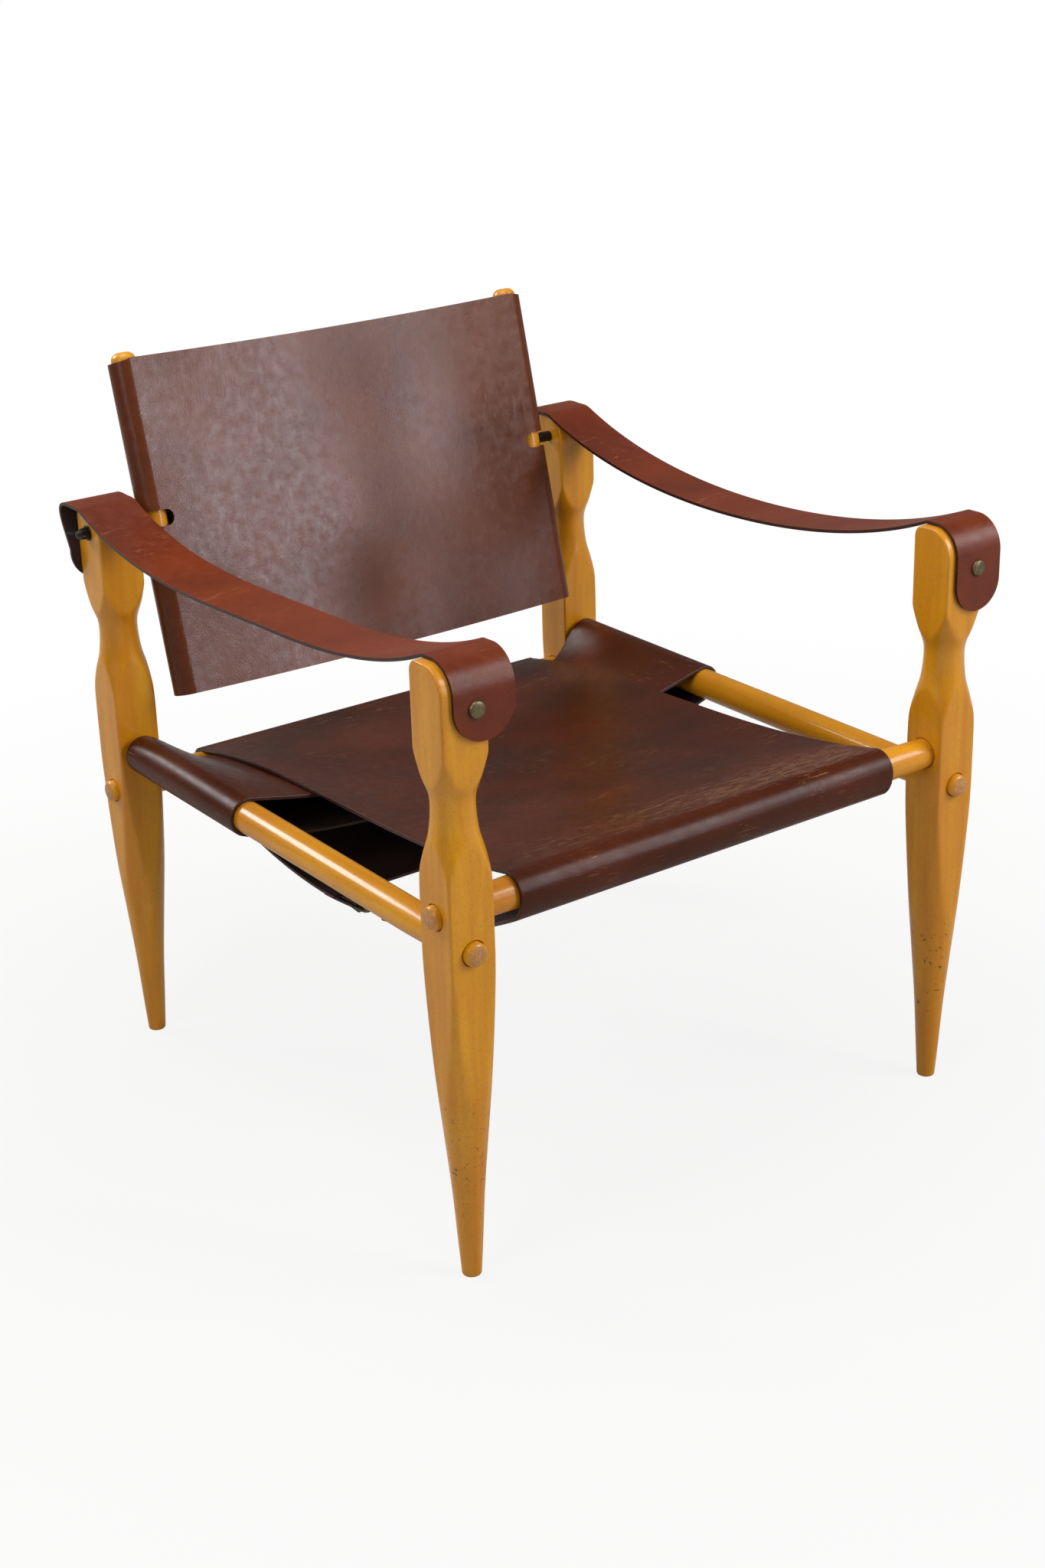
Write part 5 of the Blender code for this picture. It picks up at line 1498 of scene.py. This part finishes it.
def add_belt_set(name, bed, near_edge, far_edge, body):
    """Belt, folded tab, buckle, prong and rivets across the gap between two flaps."""
    kind = "back" if body == "back" else "saddle"
    finishes = leather_finishes(kind)
    heel = far_edge - TAB_REACH
    root = near_edge - BELT_LAP
    over, low_point, tail = belt_line(heel)
    stations = [Vector((along, BELT_LOW)) for along in spread(root, low_point, 44)] + over + tail
    # an English point: the last 12 mm narrow in a curve
    halves = [BELT_WIDTH / 2] * (len(stations) - POINT_STEPS)
    halves += [
        BELT_WIDTH / 2 * (1 - POINT_NARROWING * (step / POINT_STEPS) ** POINT_CURVE)
        for step in range(1, POINT_STEPS + 1)]
    pivot = bed.place(heel, BAR_OUT)
    side = PRONG_RADIUS + PRONG_SIDE_CLEARANCE
    deep = BELT_FOLD + BELT_THICKNESS
    cutters = [block_cutter(pivot, (-side, -PRONG_SLOT, -deep), (side, PRONG_RADIUS, 0), finishes)]
    for step in range(BELT_HOLES):
        along = heel + BELT_TIP - HOLE_INSET - BELT_HOLE_SPACING * step
        hole = rod(-HOLE_REACH, HOLE_REACH, BELT_HOLE_RADIUS, HOLE_SEGMENTS)
        spot = bed.place(along, BELT_REST + BELT_TIP_LIFT / 4)
        cutters.append(add_cutter("belt_hole", hole, spot, finishes, CUT_SLOT))
    add_leather(
        name + "_leather", bed.rows(stations, halves), BELT_THICKNESS, kind, body, name,
        cutters, True)

    end = heel + TAB_LENGTH
    run = spread(end, heel + TAB_PINCH, 12)
    stations = [Vector((along, TAB_LOW)) for along in run]
    stations += arc(Vector((heel, BAR_OUT)), TAB_FOLD, 1.5 * pi, pi / 2, 14)
    stations += [Vector((along, TAB_HIGH)) for along in reversed(run)]
    reach = RING + PRONG_RADIUS + GAP
    notch = block_cutter(pivot, (-side, -deep, -deep), (side, reach, deep), finishes)
    rows = bed.rows(stations, [TAB_WIDTH / 2] * len(stations))
    add_leather(
        name + "_tab_leather", rows, TAB_THICKNESS, kind, body, name + "_tab",
        [notch], True)

    add_buckle(name, pivot, body)
    face_back = Matrix.Rotation(pi, 4, "X")
    low = root + RIVET_EDGE
    high = end - RIVET_EDGE
    for node, places, face in (
            (name + "_rivet", (low, low + RIVET_SPACING), BELT_LOW + BELT_THICKNESS / 2),
            (name + "_tab_rivet", (high, high - RIVET_SPACING), TAB_HIGH + TAB_THICKNESS / 2)):
        spots = [bed.place(along, 0) @ face_back for along in places]
        mesh = solid_mesh(node, belt_rivets(spots, -LEATHER / 2, face), Matrix())
        add_piece(node + "s_brass", mesh, [dulled_brass()], body, [node])


def add_buckle(name, pivot, body):
    half = BELT_WIDTH / 2 + BUCKLE_SIDE_CLEARANCE + BAR_RADIUS
    side = half - BUCKLE_CORNER
    far = -BUCKLE_LENGTH + BUCKLE_CORNER
    frame_points = []
    for quarter, corner in enumerate((
            (side, -BUCKLE_CORNER), (-side, -BUCKLE_CORNER), (-side, far), (side, far))):
        start = quarter * pi / 2
        turned = arc(Vector(corner), BUCKLE_CORNER, start, start + pi / 2, 8)
        frame_points += [point.to_3d() for point in turned]
    tip = -BUCKLE_LENGTH - PRONG_OVERHANG
    prong_points = [Vector((0, along, -RING)) for along in spread(tip, 0, 10)[:-1]]
    prong_points += [Vector((0, *point)) for point in arc(Vector((0, 0)), RING, -pi / 2, pi, 24)]
    prong = name + "_prong"
    for node, points, radius, closed, rides_on in (
            (name + "_buckle", frame_points, BAR_RADIUS, True, body),
            (prong, prong_points, PRONG_RADIUS, False, prong)):
        mesh = wire_mesh(node, points, radius, closed, pivot)
        add_piece(node + "_brass", mesh, [dulled_brass()], rides_on, [node])


class OBJECT_OT_chair_belts(bpy.types.Operator):
    """Buckle the flaps of the seat, the cross sheet and the back together"""
    bl_idname = "object.chair_belts"
    bl_label = "Belts and buckles"

    def execute(self, context):
        line = seat_lines(SEAT_FINENESS)[3]
        near = SEAT_FRONT_FLAP
        for side, out in SIDES.items():
            bed = Bed(line, out * (SEAT_WIDTH / 2 - SEAT_BELT_INSET), DATUM)
            add_belt_set(f"{side}_seat_belt", bed, near, near + SEAT_FLAP_GAP, "frame")
        line = cross_bottom(SEAT_FINENESS)
        plane = DATUM @ Matrix.Rotation(-pi / 2, 4, "Z")
        near = (line_length(line) - CROSS_FLAP_GAP) / 2
        bed = Bed(line, -(CROSS_FRONT + CROSS_REAR) / 2, plane)
        add_belt_set("cross_belt", bed, near, near + CROSS_FLAP_GAP, "frame")
        line = [Vector((-UPRIGHT_X, -SLEEVE)), Vector((UPRIGHT_X, -SLEEVE))]
        behind = BACK @ Matrix(((0, 1, 0, 0), (0, 0, -1, 0), (-1, 0, 0, 0), (0, 0, 0, 1)))
        near = UPRIGHT_X - BACK_FLAP_GAP / 2
        for name, up in (("upper_back_belt", BACK_BELT_RISE), ("lower_back_belt", -BACK_BELT_DROP)):
            add_belt_set(name, Bed(line, -up, behind), near, near + BACK_FLAP_GAP, "back")
        return {"FINISHED"}


# Stage

def area_light(name, spot, size, power, colour="#FFFFFF"):
    data = bpy.data.lights.new(name, "AREA")
    data.shape = "RECTANGLE"
    data.size, data.size_y = size
    data.energy = power
    data.color = linear(colour)
    lamp = add_object(name, data)
    lamp.location = spot
    lamp.rotation_mode = "QUATERNION"
    lamp.rotation_quaternion = (LIT_MIDDLE - Vector(spot)).to_track_quat("-Z", "Y")


def add_camera():
    """The photograph's own view, fitted to the straight wooden parts."""
    azimuth, elevation, roll = CAMERA_TURNS
    back = Vector((
        sin(azimuth) * cos(elevation), -cos(azimuth) * cos(elevation), sin(elevation)))
    right = Vector((cos(azimuth), sin(azimuth), 0))
    up = back.cross(right)
    x_axis = cos(roll) * right + sin(roll) * up
    y_axis = cos(roll) * up - sin(roll) * right
    data = bpy.data.cameras.new("camera")
    data.lens = CAMERA_LENS
    camera = add_object("camera", data)
    camera.matrix_world = Matrix.Translation(CAMERA_SPOT) @ Matrix(
        (x_axis, y_axis, back)).transposed().to_4x4()
    bpy.context.scene.camera = camera


def seen_white(tree):
    """1 where the camera or glass looks, and a share of it in gloss, so that leather stays deep."""
    path = add_node(tree, "ShaderNodeLightPath")
    clear = add_node(
        tree, "ShaderNodeMath", {0: (path, "Is Camera Ray"), 1: (path, "Is Transmission Ray")},
        operation="MAXIMUM")
    gloss = add_node(
        tree, "ShaderNodeMath", {0: (path, "Is Glossy Ray"), 1: GLOSS_SHARE}, operation="MULTIPLY")
    seen = add_node(
        tree, "ShaderNodeMath", {0: (clear, "Value"), 1: (gloss, "Value")}, operation="MAXIMUM")
    return seen, "Value"


def pale_floor():
    """Painted studio floor: matt, and lifted towards white where it is looked at."""
    material = bpy.data.materials.new("matt studio floor")
    material.use_nodes = True
    tree = material.node_tree
    tree.nodes.clear()
    paint = add_node(
        tree, "ShaderNodeBsdfDiffuse",
        {"Color": opaque(bpy.context.scene.chair_studio.floor), "Roughness": 1.0})
    white = add_node(tree, "ShaderNodeEmission", {"Color": WHITE, "Strength": 1.0})
    # lifted a little less close to the object, which leaves its shadow
    place = add_node(tree, "ShaderNodeTexCoord")
    reach = add_node(tree, "ShaderNodeVectorMath", {0: (place, "Object")}, operation="LENGTH")
    share = add_node(
        tree, "ShaderNodeMapRange",
        {"Value": (reach, "Value"), REACH: (0.4, 1.4, 1.0, 0.86)})
    lift = add_node(
        tree, "ShaderNodeMath", {0: seen_white(tree), 1: (share, "Result")}, operation="MULTIPLY")
    mix = add_node(
        tree, "ShaderNodeMixShader", {0: (lift, "Value"), 1: (paint, 0), 2: (white, 0)})
    add_node(tree, "ShaderNodeOutputMaterial", {"Surface": (mix, 0)})
    return material


def studio_world():
    """Soft even surround, white where the camera or glass sees it, and a share of it in gloss."""
    world = bpy.data.worlds.new("studio surround")
    world.use_nodes = True
    tree = world.node_tree
    tree.nodes.clear()
    soft = add_node(tree, "ShaderNodeBackground", {"Color": WHITE, "Strength": 0.1})
    white = add_node(tree, "ShaderNodeBackground", {"Color": WHITE, "Strength": 1.0})
    mix = add_node(
        tree, "ShaderNodeMixShader", {0: seen_white(tree), 1: (soft, 0), 2: (white, 0)})
    add_node(tree, "ShaderNodeOutputWorld", {"Surface": (mix, 0)})
    bpy.context.scene.world = world


class OBJECT_OT_chair_stage(bpy.types.Operator):
    """Set the floor, the soft lights, the surround and the camera"""
    bl_idname = "object.chair_stage"
    bl_label = "Stage"

    def execute(self, context):
        bm = bmesh.new()
        bmesh.ops.create_grid(
            bm, x_segments=1, y_segments=1, size=context.scene.chair_studio.floor_size / 2)
        mesh = new_mesh("floor", bm)
        mesh.materials.append(pale_floor())
        add_object("floor", mesh)
        studio_world()
        area_light("overhead softbox", (-0.4, 0.2, 2.6), (2.0, 1.5), 35)
        area_light("right softbox", (1.36, -2.45, 1.05), (0.4, 0.9), 16, "#F4F4FF")
        area_light("high right softbox", (1.9, -2.0, 2.2), (1.5, 1.5), 58)
        area_light("left fill", (-2.6, -0.8, 1.9), (1.4, 1.6), 20)
        area_light("rear softbox", (-1.2, 2.3, 1.9), (1.0, 0.8), 40)
        add_camera()
        context.scene.view_settings.view_transform = "Standard"
        return {"FINISHED"}


class VIEW3D_PT_chair(bpy.types.Panel):
    bl_label = "Campaign chair"
    bl_idname = "VIEW3D_PT_chair"
    bl_space_type = "VIEW_3D"
    bl_region_type = "UI"
    bl_category = "Chair"

    def draw(self, context):
        layout = self.layout
        for name in SETTINGS:
            group = getattr(context.scene, name)
            column = layout.column()
            for key in group.__class__.__annotations__:
                column.prop(group, key)
        for operator in OPERATORS:
            layout.operator(operator.bl_idname)


SETTINGS = {
    "chair_wood": ChairWoodSettings,
    "chair_leather": ChairLeatherSettings,
    "chair_metal": ChairMetalSettings,
    "chair_studio": ChairStudioSettings,
}
OPERATORS = (
    OBJECT_OT_chair_legs,
    OBJECT_OT_chair_rails,
    OBJECT_OT_chair_seat,
    OBJECT_OT_chair_cross_sheet,
    OBJECT_OT_chair_uprights,
    OBJECT_OT_chair_back,
    OBJECT_OT_chair_arms,
    OBJECT_OT_chair_screws,
    OBJECT_OT_chair_pivots,
    OBJECT_OT_chair_belts,
    OBJECT_OT_chair_stage,
)


def register():
    for name, group in SETTINGS.items():
        bpy.utils.register_class(group)
        setattr(bpy.types.Scene, name, PointerProperty(type=group))
    for item in OPERATORS + (VIEW3D_PT_chair,):
        bpy.utils.register_class(item)


def unregister():
    for item in reversed(OPERATORS + (VIEW3D_PT_chair,)):
        bpy.utils.unregister_class(item)
    for name, group in SETTINGS.items():
        delattr(bpy.types.Scene, name)
        bpy.utils.unregister_class(group)


def main():
    register()
    for operator in OPERATORS:
        getattr(bpy.ops.object, operator.bl_idname.split(".")[1])()


if __name__ == "__main__":
    main()
